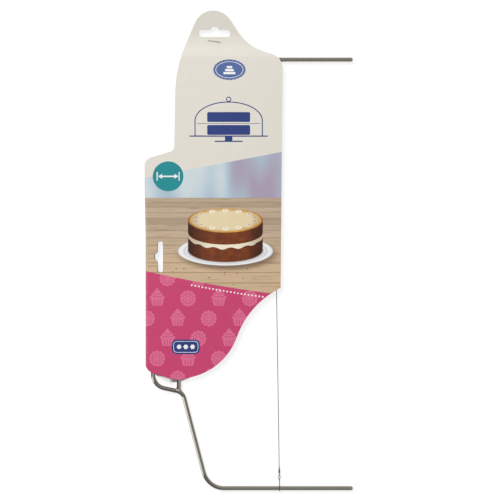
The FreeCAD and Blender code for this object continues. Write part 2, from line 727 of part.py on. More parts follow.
def write(pieces):
    """Checks every object and piece, then writes one STEP file for each piece."""
    doc.recompute()
    for item in doc.Objects:
        if "Invalid" in item.State or "Error" in item.State:
            raise RuntimeError(f"{item.Name} failed: {item.State}")
    for piece in pieces:
        shape = piece.Shape
        if shape.isNull() or not shape.isValid() or len(shape.Solids) != 1:
            raise RuntimeError(f"{piece.Label} is not one valid solid")
    os.makedirs("parts", exist_ok=True)
    for piece in pieces:
        piece.Shape.exportStep(f"parts/{piece.Label}.step")
        box = piece.Shape.BoundBox
        print(f"{piece.Label}: {box.XLength:.1f} x {box.YLength:.1f} x {box.ZLength:.1f} mm,"
              f" {piece.Shape.Volume:.0f} mm3")


def main():
    """Builds every piece of the leveler and its card."""
    frame_rod = make_frame_rod()
    grip_bar = make_grip_bar(frame_rod)
    welds = [
        make_weld("upper_weld", 1, frame_rod, grip_bar),
        make_weld("lower_weld", -1, frame_rod, grip_bar),
    ]
    wire = make_cutting_wire()
    eyes = [
        make_wire_eye("upper_wire_eye", FIRST_NOTCH_X, LEG_Y, "0 deg"),
        make_wire_eye("lower_wire_eye", f"{FIRST_NOTCH_X} + {WIRE_SKEW}", f"-{LEG_Y}", "180 deg"),
    ]
    card = make_hang_card()
    staple = make_staple()
    write([frame_rod, grip_bar, *welds, wire, *eyes, card, staple])


main()
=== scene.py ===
import logging
import math
import random
from collections.abc import Callable, Sequence
from dataclasses import dataclass
from enum import Enum

import bmesh
import bpy
from bpy.types import Material, Mesh, Node, NodeSocket, NodeTree, Object
from mathutils import Color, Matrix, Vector
from mathutils.geometry import delaunay_2d_cdt


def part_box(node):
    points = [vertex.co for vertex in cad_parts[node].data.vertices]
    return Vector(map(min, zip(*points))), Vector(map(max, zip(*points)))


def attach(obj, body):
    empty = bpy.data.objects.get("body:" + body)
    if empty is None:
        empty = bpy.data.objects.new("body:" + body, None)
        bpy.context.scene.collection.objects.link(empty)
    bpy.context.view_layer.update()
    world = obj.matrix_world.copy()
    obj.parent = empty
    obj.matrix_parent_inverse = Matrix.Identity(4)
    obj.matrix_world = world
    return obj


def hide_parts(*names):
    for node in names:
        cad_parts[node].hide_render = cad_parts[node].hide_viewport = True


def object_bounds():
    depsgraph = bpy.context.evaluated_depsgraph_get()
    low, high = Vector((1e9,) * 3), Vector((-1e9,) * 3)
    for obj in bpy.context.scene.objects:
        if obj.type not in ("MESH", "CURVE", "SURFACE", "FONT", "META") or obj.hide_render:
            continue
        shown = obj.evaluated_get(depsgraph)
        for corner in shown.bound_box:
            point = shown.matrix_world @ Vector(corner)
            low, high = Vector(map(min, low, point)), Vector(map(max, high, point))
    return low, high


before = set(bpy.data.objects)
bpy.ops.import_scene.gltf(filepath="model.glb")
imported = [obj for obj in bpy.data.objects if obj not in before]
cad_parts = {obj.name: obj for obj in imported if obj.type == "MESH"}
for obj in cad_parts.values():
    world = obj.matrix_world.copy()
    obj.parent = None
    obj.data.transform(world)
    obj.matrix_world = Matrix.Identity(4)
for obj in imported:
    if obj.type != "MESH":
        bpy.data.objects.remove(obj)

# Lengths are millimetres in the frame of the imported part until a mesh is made.
MM = 0.001
FULL_TURN = 2 * math.pi
FULL_CIRCLE = 360
WHITE_LEVEL = 255
SMOOTH_ANGLE = math.radians(40)
CAD_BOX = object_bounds()
LOG = logging.getLogger("cake_leveler")

Point = tuple[float, float]
Span = tuple[float, float]
Triple = tuple[float, float, float]
Quad = tuple[float, float, float, float]
Levels = tuple[int, int, int]
Colour = tuple[float, float, float, float]
Outline = list[Point]


def opaque(tone: Sequence[float]) -> Colour:
    """Gives a linear tone full cover, as a shader socket takes it."""
    return (*tone, 1.0)


def ink(levels: Levels) -> Colour:
    """Gives the linear colour of three 8-bit display levels."""
    return opaque(Color([level / WHITE_LEVEL for level in levels]).from_srgb_to_scene_linear())


def grey(level: float) -> Colour:
    """Gives a neutral linear colour."""
    return opaque((level, level, level))


def node_box(node: str) -> tuple[Vector, Vector]:
    """Gives the lowest and the highest corner of a CAD node in millimetres."""
    low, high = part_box(node)
    return low / MM, high / MM


def share(value: float, start: float, end: float) -> float:
    """Gives how far a value is on its way from a start to an end, from 0 to 1."""
    return min(max((value - start) / (end - start), 0.0), 1.0)


def eased(value: float, start: float, end: float) -> float:
    """Gives how far a value is on its way, flat at both ends."""
    part = share(value, start, end)
    return part * part * (3 - 2 * part)


def add_object(name: str, data: bpy.types.ID) -> Object:
    """Puts a mesh, a lamp or a camera into the scene.

    Args:
        name: name of the object.
        data: what the object shows.

    Returns:
        The object.
    """
    thing = bpy.data.objects.new(name, data)
    bpy.context.scene.collection.objects.link(thing)
    return thing


class Graph:
    """Adds and links the nodes of one tree."""

    def __init__(self, tree: NodeTree) -> None:
        """Keeps the tree that the nodes go into."""
        self.tree = tree

    def add(self, kind: str, inputs: dict | None = None, **settings: object) -> Node:
        """Adds a node, sets it up and feeds its inputs.

        Args:
            kind: Blender's name of the node's type.
            inputs: sockets or plain values by input name or number.
            settings: properties of the node.

        Returns:
            The node.
        """
        node = self.tree.nodes.new(kind)
        for key, setting in settings.items():
            setattr(node, key, setting)
        self.wire(node, inputs or {})
        return node

    def wire(self, node: Node, inputs: dict) -> None:
        """Feeds several inputs of a node, by name or number."""
        for key, source in inputs.items():
            self.feed(node.inputs[key], source)

    def feed(self, socket: NodeSocket, source: object) -> None:
        """Links a socket or a node's first output to an input, or sets its value.

        Args:
            socket: the input.
            source: node, socket or plain value that goes in.
        """
        if isinstance(source, Node):
            source = source.outputs[0]
        if isinstance(source, NodeSocket):
            self.tree.links.new(source, socket)
        else:
            socket.default_value = source

    def math(self, operation: str, *terms: object) -> NodeSocket:
        """Adds a sum of plain values and returns its result."""
        return self.add("ShaderNodeMath", dict(enumerate(terms)), operation=operation).outputs[0]

    def vector(self, operation: str, *terms: object) -> NodeSocket:
        """Adds a sum of vectors and returns its result."""
        return self.add("ShaderNodeVectorMath", dict(enumerate(terms)), operation=operation).outputs[0]

    def scaled(self, vector: object, scale: object) -> NodeSocket:
        """Adds a vector times a value and returns its result."""
        return self.add("ShaderNodeVectorMath", {0: vector, "Scale": scale}, operation="SCALE").outputs[0]

    def length(self, vector: object) -> NodeSocket:
        """Adds the length of a vector and returns its result."""
        return self.add("ShaderNodeVectorMath", {0: vector}, operation="LENGTH").outputs["Value"]

    def split(self, vector: object) -> dict[str, NodeSocket]:
        """Takes a vector apart and returns its parts by axis."""
        return dict(self.add("ShaderNodeSeparateXYZ", {0: vector}).outputs.items())

    def join(self, **parts: object) -> Node:
        """Puts a vector together from its parts by axis."""
        return self.add("ShaderNodeCombineXYZ", parts)

    def place(self) -> NodeSocket:
        """Gives the place on the piece, in its object's coordinates."""
        return self.add("ShaderNodeTexCoord").outputs["Object"]

    def attribute(self, name: str, output: str = "Fac") -> NodeSocket:
        """Gives a value that the piece's mesh carries."""
        return self.add("ShaderNodeAttribute", attribute_name=name).outputs[output]

    def blend(self, factor: object, first: object, second: object) -> NodeSocket:
        """Adds a mix of two colours.

        Args:
            factor: share of the second colour.
            first: colour at 0.
            second: colour at 1.

        Returns:
            The mixed colour.
        """
        mix = self.add("ShaderNodeMix", data_type="RGBA")
        sockets = {socket.identifier: socket for socket in mix.inputs}
        for name, source in (("Factor_Float", factor), ("A_Color", first), ("B_Color", second)):
            self.feed(sockets[name], source)
        return next(socket for socket in mix.outputs if socket.identifier == "Result_Color")

    def spread(self, value: object, low: float, high: float) -> NodeSocket:
        """Adds a map from 0 to 1 onto a range and returns its result."""
        return self.add("ShaderNodeMapRange", {0: value, 3: low, 4: high}).outputs[0]

    def ease(self, value: object, span: Span, result: Span) -> NodeSocket:
        """Adds a soft step over a span of a value, from one result to another, and returns it."""
        inputs = {0: value, 1: span[0], 2: span[1], 3: result[0], 4: result[1]}
        return self.add("ShaderNodeMapRange", inputs, interpolation_type="SMOOTHSTEP").outputs[0]

    def ramp(self, value: object, stops: Sequence[tuple[float, Colour]]) -> NodeSocket:
        """Adds a row of colours along a value.

        Args:
            value: what the row runs along.
            stops: places of the row in order, each with its colour.

        Returns:
            The colour.
        """
        node = self.add("ShaderNodeValToRGB", {"Fac": value})
        row = node.color_ramp.elements
        row[0].position, row[0].color = stops[0]
        row[1].position, row[1].color = stops[-1]
        for position, colour in stops[1:-1]:
            row.new(position).color = colour
        return node.outputs["Color"]

    def noise(self, vector: object, scale: object, detail: float = 2.0) -> NodeSocket:
        """Adds a noise texture and returns its value."""
        inputs = {"Vector": vector, "Scale": scale, "Detail": detail}
        return self.add("ShaderNodeTexNoise", inputs).outputs[0]


class Carried(Enum):
    """What a group's socket carries, where it isn't a plain number."""

    SHAPE = "NodeSocketGeometry"
    FINISH = "NodeSocketMaterial"


NUMBER_SOCKETS = {float: "NodeSocketFloat", int: "NodeSocketInt"}
Sockets = dict[str, float | int | Carried]


def new_group(
    kind: str, name: str, inputs: Sockets, outputs: Sockets
) -> tuple[Graph, dict[str, NodeSocket], Node]:
    """Makes a node group with its sockets.

    Args:
        kind: type of the tree.
        name: name of the group.
        inputs: first value of each input, or what it carries, by name.
        outputs: the same for what comes out.

    Returns:
        The group's graph, what its inputs give by name, and its output node.
    """
    tree = bpy.data.node_groups.new(name, kind)
    for direction, sockets in (("INPUT", inputs), ("OUTPUT", outputs)):
        for label, first in sockets.items():
            number = not isinstance(first, Carried)
            socket_type = NUMBER_SOCKETS[type(first)] if number else first.value
            made = tree.interface.new_socket(label, in_out=direction, socket_type=socket_type)
            if number:
                made.default_value = first
    graph = Graph(tree)
    given = graph.add("NodeGroupInput").outputs
    return graph, {label: given[label] for label in inputs}, graph.add("NodeGroupOutput")


def streak_group() -> NodeTree:
    """Makes the marks that drawing leaves along a rod or wire.

    Returns:
        A group with a tone and a height that run with the piece.
    """
    streak_share, smudge_share, smudge_detail = 0.7, 0.3, 3.0
    graph, take, result = new_group(
        "ShaderNodeTree", "drawn_streaks",
        {"Across": 2600.0, "Along": 40.0, "Handling": 160.0}, {"Tone": 0.0, "Height": 0.0})
    across = graph.scaled(graph.attribute("section", "Vector"), take["Across"])
    run = graph.join(Z=graph.math("MULTIPLY", graph.attribute("along"), take["Along"]))
    streak = graph.noise(graph.vector("ADD", across, run), 1.0)
    smudge = graph.noise(graph.place(), take["Handling"], smudge_detail)
    tone = graph.math("MULTIPLY_ADD", streak, streak_share, graph.math("MULTIPLY", smudge, smudge_share))
    graph.wire(result, {"Tone": tone, "Height": streak})
    return graph.tree


def fibre_group() -> NodeTree:
    """Makes the fibres and fine unevenness of coated board, and the cracked ink on its folds.

    Returns:
        A group with a tone, a height and a wear mask that vary over the board.
    """
    fibre_share, fibre_detail, cloud_detail = 0.5, 4.0, 3.0
    crack_scale, crack_detail, crack_span, crack_depth = 1100.0, 4.0, (0.45, 0.65), (0.0, 0.4)
    graph, take, result = new_group(
        "ShaderNodeTree", "board_fibre",
        {"Fibre": 2200.0, "Cloud": 90.0, "Stretch": 0.25}, {"Tone": 0.0, "Height": 0.0, "Wear": 0.0})
    place = graph.place()
    stretch = graph.join(X=1.0, Y=take["Stretch"], Z=1.0)
    fibre = graph.noise(graph.vector("MULTIPLY", place, stretch), take["Fibre"], fibre_detail)
    cloud = graph.noise(place, take["Cloud"], cloud_detail)
    tone = graph.math("MULTIPLY_ADD", fibre, fibre_share, graph.math("MULTIPLY", cloud, 1 - fibre_share))
    cracks = graph.ease(graph.noise(place, crack_scale, crack_detail), crack_span, crack_depth)
    wear = graph.math("MULTIPLY", graph.attribute("wear"), cracks)
    graph.wire(result, {"Tone": tone, "Height": fibre, "Wear": wear})
    return graph.tree


BARE_BOARD = (238, 235, 230)
STREAKS = streak_group()
FIBRES = fibre_group()


def new_material(name: str) -> tuple[Graph, Node]:
    """Makes a material with a bare Principled shader.

    Args:
        name: name of the material.

    Returns:
        Its graph and its shader node.
    """
    material = bpy.data.materials.new(name)
    material.use_nodes = True
    return Graph(material.node_tree), material.node_tree.nodes["Principled BSDF"]


@dataclass(frozen=True)
class SteelFinish:
    """Bare steel with the marks of its making."""

    name: str
    dark: Triple
    light: Triple
    roughness: Span
    across: float
    along: float
    relief: float = 0.01
    bump: float = 0.25

    def material(self) -> Material:
        """Builds the finish, or finds it where another piece has it.

        Returns:
            The material.
        """
        if self.name in bpy.data.materials:
            return bpy.data.materials[self.name]
        graph, shader = new_material(self.name)
        marks = graph.add(
            "ShaderNodeGroup", {"Across": self.across, "Along": self.along}, node_tree=STREAKS).outputs
        graph.wire(shader, {
            "Base Color": graph.blend(marks["Tone"], opaque(self.dark), opaque(self.light)),
            "Roughness": graph.spread(marks["Tone"], *self.roughness),
            "Normal": graph.add("ShaderNodeBump", {
                "Strength": self.bump, "Distance": self.relief * MM, "Height": marks["Height"]}),
            "Metallic": 1.0,
        })
        return bpy.data.materials[self.name]


@dataclass(frozen=True)
class Oval:
    """Upright ellipse in the printed picture."""

    x: float
    y: float
    wide: float
    high: float

    def reach(self, graph: Graph, lift: float = 1.0) -> NodeSocket:
        """Gives how far a point lies from the middle, with 1 on the ellipse.

        Args:
            graph: graph that works it out.
            lift: share of the height that counts.

        Returns:
            The socket with the distance.
        """
        off = graph.vector("SUBTRACT", graph.place(), (self.x * MM, self.y * MM, 0.0))
        scale = (1 / (self.wide * MM), lift / (self.high * MM), 0.0)
        return graph.length(graph.vector("MULTIPLY", off, scale))


# Places of the printed picture: the table's far edge, the cake's top, its plate and the plate's shadow.
HORIZON = 81.5
SPONGE_TOP = Oval(50.0, 57.4, 40.0, 13.0)
PLATE_RIM = Oval(50.0, 24.5, 51.0, 15.5)
PLATE_SHADE = Oval(53.0, 21.0, 56.5, 18.5)


@dataclass(frozen=True)
class InkFinish:
    """Coated board in one even colour with a faint mottle, between its first two inks."""

    name: str
    inks: tuple[Levels, ...]
    oval: Oval = SPONGE_TOP
    roughness: Span = (0.42, 0.6)
    gloss: float = 0.22
    relief: float = 0.03
    bump: float = 0.12

    def material(self) -> Material:
        """Builds the finish.

        Returns:
            The material.
        """
        graph, shader = new_material(self.name)
        fibre = graph.add("ShaderNodeGroup", node_tree=FIBRES).outputs
        painted = self.paint(graph, fibre["Tone"], [ink(levels) for levels in self.inks])
        graph.wire(shader, {
            "Base Color": graph.blend(fibre["Wear"], painted, ink(BARE_BOARD)),
            "Roughness": graph.spread(fibre["Tone"], *self.roughness),
            "Normal": graph.add("ShaderNodeBump", {
                "Strength": self.bump, "Distance": self.relief * MM, "Height": fibre["Height"]}),
            "Specular IOR Level": self.gloss,
        })
        return bpy.data.materials[self.name]

    def paint(self, graph: Graph, mottle: NodeSocket, inks: list[Colour]) -> NodeSocket:
        """Gives the colour over the board.

        Args:
            graph: graph of the material.
            mottle: the board's own faint variation.
            inks: the finish's colours.

        Returns:
            The socket with the colour.
        """
        return graph.blend(mottle, inks[0], inks[1])


class HazeInk(InkFinish):
    """Wide soft patches of three inks."""

    stretch = (1.0, 0.3, 1.0)
    patch_scale = 24.0
    mottle_share = 0.04
    stops = (0.38, 0.52, 0.66)

    def paint(self, graph: Graph, mottle: NodeSocket, inks: list[Colour]) -> NodeSocket:
        """Gives the colour over the board.

        Args:
            graph: graph of the material.
            mottle: the board's own faint variation.
            inks: the finish's colours.

        Returns:
            The socket with the colour.
        """
        patch = graph.noise(graph.vector("MULTIPLY", graph.place(), self.stretch), self.patch_scale, 1.0)
        shade = graph.math("MULTIPLY_ADD", mottle, self.mottle_share, patch)
        return graph.ramp(shade, list(zip(self.stops, inks)))


class PlankInk(InkFinish):
    """Boards that narrow into the distance: dark and light wood, seams, a shadow and wood in the sun."""

    reach = 60.0
    density = 13.0
    board_shift = 3.0
    board_share = 0.4
    grain_stretch = (0.1, 1.0, 1.0)
    grain_scale, grain_detail = 380.0, 5.0
    mottle_share = 0.15
    seam_span, seam_depth = (0.0, 0.07), (0.65, 0.0)
    line_stretch = (0.03, 1.0, 1.0)
    line_scale, line_detail = 900.0, 3.0
    line_span, line_depth = (0.56, 0.72), (0.0, 0.5)
    sun_span, sun_depth = (0.5, 1.3), (0.0, 0.75)
    shade_span, shade_depth = (0.74, 1.06), (0.7, 0.0)

    def paint(self, graph: Graph, mottle: NodeSocket, inks: list[Colour]) -> NodeSocket:
        """Gives the colour over the board.

        Args:
            graph: graph of the material.
            mottle: the board's own faint variation.
            inks: the finish's colours.

        Returns:
            The socket with the colour.
        """
        dark, light, line, shadow, sunlit = inks
        place = graph.place()
        drop = graph.math("SUBTRACT", HORIZON * MM, graph.split(place)["Y"])
        near = graph.math("DIVIDE", drop, self.reach * MM)
        depth = graph.math("LOGARITHM", graph.math("ADD", near, 1.0), math.e)
        count = graph.math("MULTIPLY", depth, self.density)
        board = {"W": graph.math("FLOOR", count)}
        own = graph.add("ShaderNodeTexWhiteNoise", board, noise_dimensions="1D").outputs["Value"]
        shift = graph.join(X=graph.math("MULTIPLY", own, self.board_shift))
        run = graph.vector("MULTIPLY", graph.vector("ADD", place, shift), self.grain_stretch)
        grain = graph.noise(run, self.grain_scale, self.grain_detail)
        grain = graph.math("MULTIPLY_ADD", mottle, self.mottle_share, grain)
        grain = graph.math("MULTIPLY", grain, 1 - self.board_share)
        wood = graph.blend(graph.math("MULTIPLY_ADD", own, self.board_share, grain), dark, light)
        seam = graph.ease(graph.math("PINGPONG", count, 0.5), self.seam_span, self.seam_depth)
        along = graph.vector("MULTIPLY", place, self.line_stretch)
        lines = graph.noise(along, self.line_scale, self.line_detail)
        seam = graph.math("MAXIMUM", seam, graph.ease(lines, self.line_span, self.line_depth))
        lit = graph.blend(graph.ease(near, self.sun_span, self.sun_depth), wood, sunlit)
        shade = graph.ease(self.oval.reach(graph), self.shade_span, self.shade_depth)
        return graph.blend(shade, graph.blend(seam, lit, line), shadow)


class GlazeInk(InkFinish):
    """Plate with its well, groove, broad rim and shaded edge: bright, grey and dark."""

    mottle_share = 0.01
    well, rise, groove, rim, turn, edge = 0.74, 0.84, 0.87, 0.9, 0.97, 1.0

    def paint(self, graph: Graph, mottle: NodeSocket, inks: list[Colour]) -> NodeSocket:
        """Gives the colour over the board.

        Args:
            graph: graph of the material.
            mottle: the board's own faint variation.
            inks: the finish's colours.

        Returns:
            The socket with the colour.
        """
        bright, dim, dark = inks
        return graph.ramp(graph.math("MULTIPLY_ADD", mottle, self.mottle_share, self.oval.reach(graph)), [
            (self.well, dark), (self.rise, bright), (self.groove, dim),
            (self.rim, bright), (self.turn, bright), (self.edge, dim),
        ])


class BakedInk(InkFinish):
    """Crust that browns unevenly between two inks and darkens round its sides to a third."""

    patch_scale, patch_detail = 140.0, 6.0
    mottle_share = 0.3
    contrast = (-0.5, 1.3)
    side_span, side_depth = (0.3, 1.05), (0.0, 0.9)

    def paint(self, graph: Graph, mottle: NodeSocket, inks: list[Colour]) -> NodeSocket:
        """Gives the colour over the board.

        Args:
            graph: graph of the material.
            mottle: the board's own faint variation.
            inks: the finish's colours.

        Returns:
            The socket with the colour.
        """
        patch = graph.noise(graph.place(), self.patch_scale, self.patch_detail)
        patch = graph.math("MULTIPLY_ADD", mottle, self.mottle_share, patch)
        crust = graph.blend(graph.spread(patch, *self.contrast), inks[0], inks[1])
        turned = graph.ease(self.oval.reach(graph, lift=0.0), self.side_span, self.side_depth)
        return graph.blend(turned, crust, inks[2])


class CrumbInk(InkFinish):
    """Pale crumb with small pores that browns towards its edge: pale, pores and brown."""

    pore_scale = 900.0
    pore_share, mottle_share = 0.5, 0.6
    patch_scale, patch_share = 90.0, 0.25
    edge_span, edge_depth = (0.8, 1.12), (0.0, 1.0)

    def paint(self, graph: Graph, mottle: NodeSocket, inks: list[Colour]) -> NodeSocket:
        """Gives the colour over the board.

        Args:
            graph: graph of the material.
            mottle: the board's own faint variation.
            inks: the finish's colours.

        Returns:
            The socket with the colour.
        """
        place = graph.place()
        pores = graph.add("ShaderNodeTexVoronoi", {"Vector": place, "Scale": self.pore_scale})
        faint = graph.math("MULTIPLY", mottle, self.mottle_share)
        crumb = graph.blend(graph.math("MULTIPLY_ADD", pores, self.pore_share, faint), inks[1], inks[0])
        patch = graph.noise(place, self.patch_scale)
        edge = graph.math("MULTIPLY_ADD", patch, self.patch_share, self.oval.reach(graph))
        return graph.blend(graph.ease(edge, self.edge_span, self.edge_depth), crumb, inks[2])


ROD_STEEL = SteelFinish(
    "rod_steel", (0.31, 0.29, 0.25), (0.50, 0.475, 0.415), (0.04, 0.11), across=2600.0, along=12.0)
# The inner bar's steel is the rod steel made darker: painted shade that stands in for the darker look the
# bar has under the light.
SHADED_BAR_STEEL = SteelFinish(
    "shaded_bar_steel", (0.24, 0.225, 0.20), (0.40, 0.375, 0.335), (0.04, 0.11), across=2400.0, along=12.0)
WELD_STEEL = SteelFinish(
    "weld_bead", (0.26, 0.24, 0.215), (0.46, 0.43, 0.39), (0.18, 0.34), across=1500.0, along=600.0,
    relief=0.04)
WIRE_STEEL = SteelFinish(
    "wire_steel", (0.03, 0.03, 0.032), (0.12, 0.12, 0.12), (0.25, 0.42), across=6000.0, along=60.0)
STAPLE_STEEL = SteelFinish(
    "staple_wire", (0.14, 0.13, 0.115), (0.32, 0.31, 0.27), (0.24, 0.4), across=5000.0, along=80.0)


class Print(Enum):
    """Colour fields of the card, each with its finish."""

    BOARD = InkFinish("bare_board", ((246, 244, 240), (234, 231, 225)), roughness=(0.7, 0.85), gloss=0.1)
    CREAM = InkFinish("cream_print", ((231, 226, 216), (221, 215, 204)))
    HAZE = HazeInk("kitchen_haze", ((170, 158, 178), (174, 194, 208), (206, 217, 221)))
    WOOD = PlankInk("table_planks", (
        (158, 135, 112), (206, 184, 158), (122, 95, 70), (92, 64, 42), (214, 185, 148)), oval=PLATE_SHADE)
    PLATE = GlazeInk("plate_glaze", ((240, 240, 240), (198, 200, 206), (120, 110, 104)), oval=PLATE_RIM)
    CRUST = BakedInk("baked_side", ((80, 34, 16), (134, 66, 28), (46, 18, 8)))
    RIM = BakedInk("baked_rim", ((186, 118, 46), (224, 170, 86), (150, 88, 30)))
    CRUMB = CrumbInk("cut_crumb", ((237, 224, 188), (222, 199, 150), (206, 158, 84)))
    FILLING = BakedInk("cream_filling", ((250, 242, 224), (242, 230, 206), (186, 164, 134)))
    PINK = InkFinish("pink_print", ((207, 73, 118), (197, 63, 108)))
    ROSE = InkFinish("rose_print", ((226, 116, 151), (217, 103, 140)))
    TEAL = InkFinish("teal_print", ((30, 144, 150), (22, 134, 140)))
    NAVY = InkFinish("navy_print", ((46, 68, 132), (36, 56, 116)))
    BLUE = InkFinish("blue_print", ((88, 112, 164), (76, 100, 152)))
    WHITE = InkFinish("white_print", ((250, 248, 246), (240, 238, 236)))


class Section(Enum):
    """Cross-section of a swept rod or wire."""

    ROUND = "round"
    FLAT = "flat"


@dataclass(frozen=True)
class PathPoint:
    """Point of a path: its place, the radius of its bend and the share of the full width there."""

    place: Vector
    bend: float = 0.0
    swell: float = 1.0


def stored(graph: Graph, shape: object, name: str, value: object, kind: str) -> Node:
    """Keeps a value on the points of a shape, under the name that a finish reads."""
    inputs = {"Geometry": shape, "Name": name, "Value": value}
    return graph.add("GeometryNodeStoreNamedAttribute", inputs, data_type=kind, domain="POINT")


def filleted(graph: Graph, curve: object, count: object, radius: object) -> Node:
    """Rounds the corners of a curve with a count of points each."""
    inputs = {"Curve": curve, "Count": count, "Radius": radius, "Limit Radius": True}
    return graph.add("GeometryNodeFilletCurve", inputs, mode="POLY")


def round_profile(graph: Graph, sides: object, radius: object) -> Node:
    """Draws a round section."""
    inputs = {"Resolution": sides, "Radius": radius}
    return graph.add("GeometryNodeCurvePrimitiveCircle", inputs, mode="RADIUS")


def swept(graph: Graph, line: Node, profile: Node, swell: object = 1.0) -> Node:
    """Sweeps a section along a line, with closed ends.

    Args:
        graph: graph of the tree.
        line: what it follows.
        profile: the section, whose own places are kept on the result.
        swell: share of the section's width along the line.

    Returns:
        The node that makes the tube.
    """
    rim = stored(graph, profile, "section", graph.add("GeometryNodeInputPosition"), "FLOAT_VECTOR")
    return graph.add("GeometryNodeCurveToMesh", {
        "Curve": line, "Profile Curve": rim, "Scale": swell, "Fill Caps": True})


def nicked(graph: Graph, tube: Node, take: dict[str, NodeSocket]) -> Node:
    """Presses a row of nicks into the outer side of both legs.

    Args:
        graph: graph of the tree.
        tube: what is nicked.
        take: the tree's inputs.

    Returns:
        The node that moves the nicked points.
    """
    spot = graph.split(graph.add("GeometryNodeInputPosition"))
    run = graph.math("SUBTRACT", spot["X"], take["Notch First"])
    step = graph.math("DIVIDE", run, take["Notch Pitch"])
    nearest = graph.math("MAXIMUM", graph.math("ROUND", step), 0.0)
    nearest = graph.math("MINIMUM", nearest, take["Notch Last"])
    off = graph.math("ABSOLUTE", graph.math("SUBTRACT", step, nearest))
    inside = graph.math("LESS_THAN", graph.math("MULTIPLY", off, take["Notch Pitch"]), take["Notch Half"])
    reach = graph.math("MINIMUM", graph.math("ABSOLUTE", spot["Y"]), take["Notch Floor"])
    sunk = graph.math("MULTIPLY", reach, graph.math("SIGN", spot["Y"]))
    target = graph.join(X=spot["X"], Y=sunk, Z=spot["Z"])
    return graph.add("GeometryNodeSetPosition", {"Geometry": tube, "Selection": inside, "Position": target})


def finish_tree(graph: Graph, made: Node, finish: NodeSocket, result: Node) -> None:
    """Ends a tree with smooth shading, real geometry and its material.

    Args:
        graph: graph of the tree.
        made: node that makes the last geometry.
        finish: socket that gives the material.
        result: output node of the tree.
    """
    angle = graph.add("GeometryNodeInputMeshEdgeAngle").outputs["Unsigned Angle"]
    soft = graph.math("LESS_THAN", angle, SMOOTH_ANGLE)
    inputs = {"Geometry": made, "Shade Smooth": soft}
    smoothed = graph.add("GeometryNodeSetShadeSmooth", inputs, domain="EDGE")
    real = graph.add("GeometryNodeRealizeInstances", {"Geometry": smoothed})
    dressed = graph.add("GeometryNodeSetMaterial", {"Geometry": real, "Material": finish})
    graph.wire(result, {"Piece": dressed})


def sweep_tree(section: Section) -> NodeTree:
    """Makes the tree that sweeps a section along a bent path.

    Args:
        section: shape of the section.

    Returns:
        The tree, with named inputs for its sizes.
    """
    corner_steps, corner_share = 5, 0.5
    graph, take, result = new_group("GeometryNodeTree", f"{section.value}_sweep", {
        "Path": Carried.SHAPE, "Width": 0.001, "Sides": 32, "Bend Steps": 24,
        "Notch First": 0.0, "Notch Pitch": 1.0, "Notch Last": 0.0, "Notch Half": 0.0, "Notch Floor": 10.0,
        "Finish": Carried.FINISH,
    }, {"Piece": Carried.SHAPE})
    bend, swell = (
        graph.add("GeometryNodeInputNamedAttribute", {"Name": name}, data_type="FLOAT").outputs[0]
        for name in ("bend", "swell"))
    line = graph.add("GeometryNodeMeshToCurve", {"Mesh": take["Path"]})
    steps = graph.math("MULTIPLY", graph.math("GREATER_THAN", bend, 0.0), take["Bend Steps"])
    length = graph.add("GeometryNodeSplineParameter").outputs["Length"]
    marked = stored(graph, filleted(graph, line, steps, bend), "along", length, "FLOAT")
    half = graph.math("MULTIPLY", take["Width"], 0.5)
    if section is Section.ROUND:
        profile = round_profile(graph, take["Sides"], half)
    else:
        sides = {"Width": take["Width"], "Height": take["Width"]}
        square = graph.add("GeometryNodeCurvePrimitiveQuadrilateral", sides, mode="RECTANGLE")
        profile = filleted(graph, square, corner_steps, graph.math("MULTIPLY", half, corner_share))
    tube = swept(graph, marked, profile, swell)
    finish_tree(graph, nicked(graph, tube, take), take["Finish"], result)
    return graph.tree


def twist_tree() -> NodeTree:
    """Makes the tree that lays thin strands round a path as a twisted wire.

    Returns:
        The tree, with named inputs for its sizes.
    """
    graph, take, result = new_group("GeometryNodeTree", "twisted_wire", {
        "Path": Carried.SHAPE, "Strands": 2, "Strand Radius": 0.00015, "Lay Radius": 0.00015,
        "Lay Length": 0.003, "Step": 0.0002, "Sides": 8, "Finish": Carried.FINISH,
    }, {"Piece": Carried.SHAPE})
    line = graph.add("GeometryNodeMeshToCurve", {"Mesh": take["Path"]})
    even = graph.add("GeometryNodeResampleCurve", {"Curve": line, "Length": take["Step"]}, mode="LENGTH")
    length = graph.add("GeometryNodeSplineParameter").outputs["Length"]
    marked = stored(graph, even, "along", length, "FLOAT")
    copying = {"Geometry": marked, "Amount": take["Strands"]}
    copies = graph.add("GeometryNodeDuplicateElements", copying, domain="SPLINE")
    turns = graph.math("DIVIDE", length, take["Lay Length"])
    phase = graph.math("DIVIDE", copies.outputs["Duplicate Index"], take["Strands"])
    angle = graph.math("MULTIPLY", graph.math("ADD", turns, phase), FULL_TURN)
    normal = graph.add("GeometryNodeInputNormal").outputs["Normal"]
    tangent = graph.add("GeometryNodeInputTangent").outputs["Tangent"]
    ahead = graph.scaled(normal, graph.math("COSINE", angle))
    aside = graph.scaled(graph.vector("CROSS_PRODUCT", tangent, normal), graph.math("SINE", angle))
    offset = graph.scaled(graph.vector("ADD", ahead, aside), take["Lay Radius"])
    laid = graph.add("GeometryNodeSetPosition", {"Geometry": copies, "Offset": offset})
    tube = swept(graph, laid, round_profile(graph, take["Sides"], take["Strand Radius"]))
    finish_tree(graph, tube, take["Finish"], result)
    return graph.tree


ROUND_SWEEP = sweep_tree(Section.ROUND)
FLAT_SWEEP = sweep_tree(Section.FLAT)
TWIST = twist_tree()


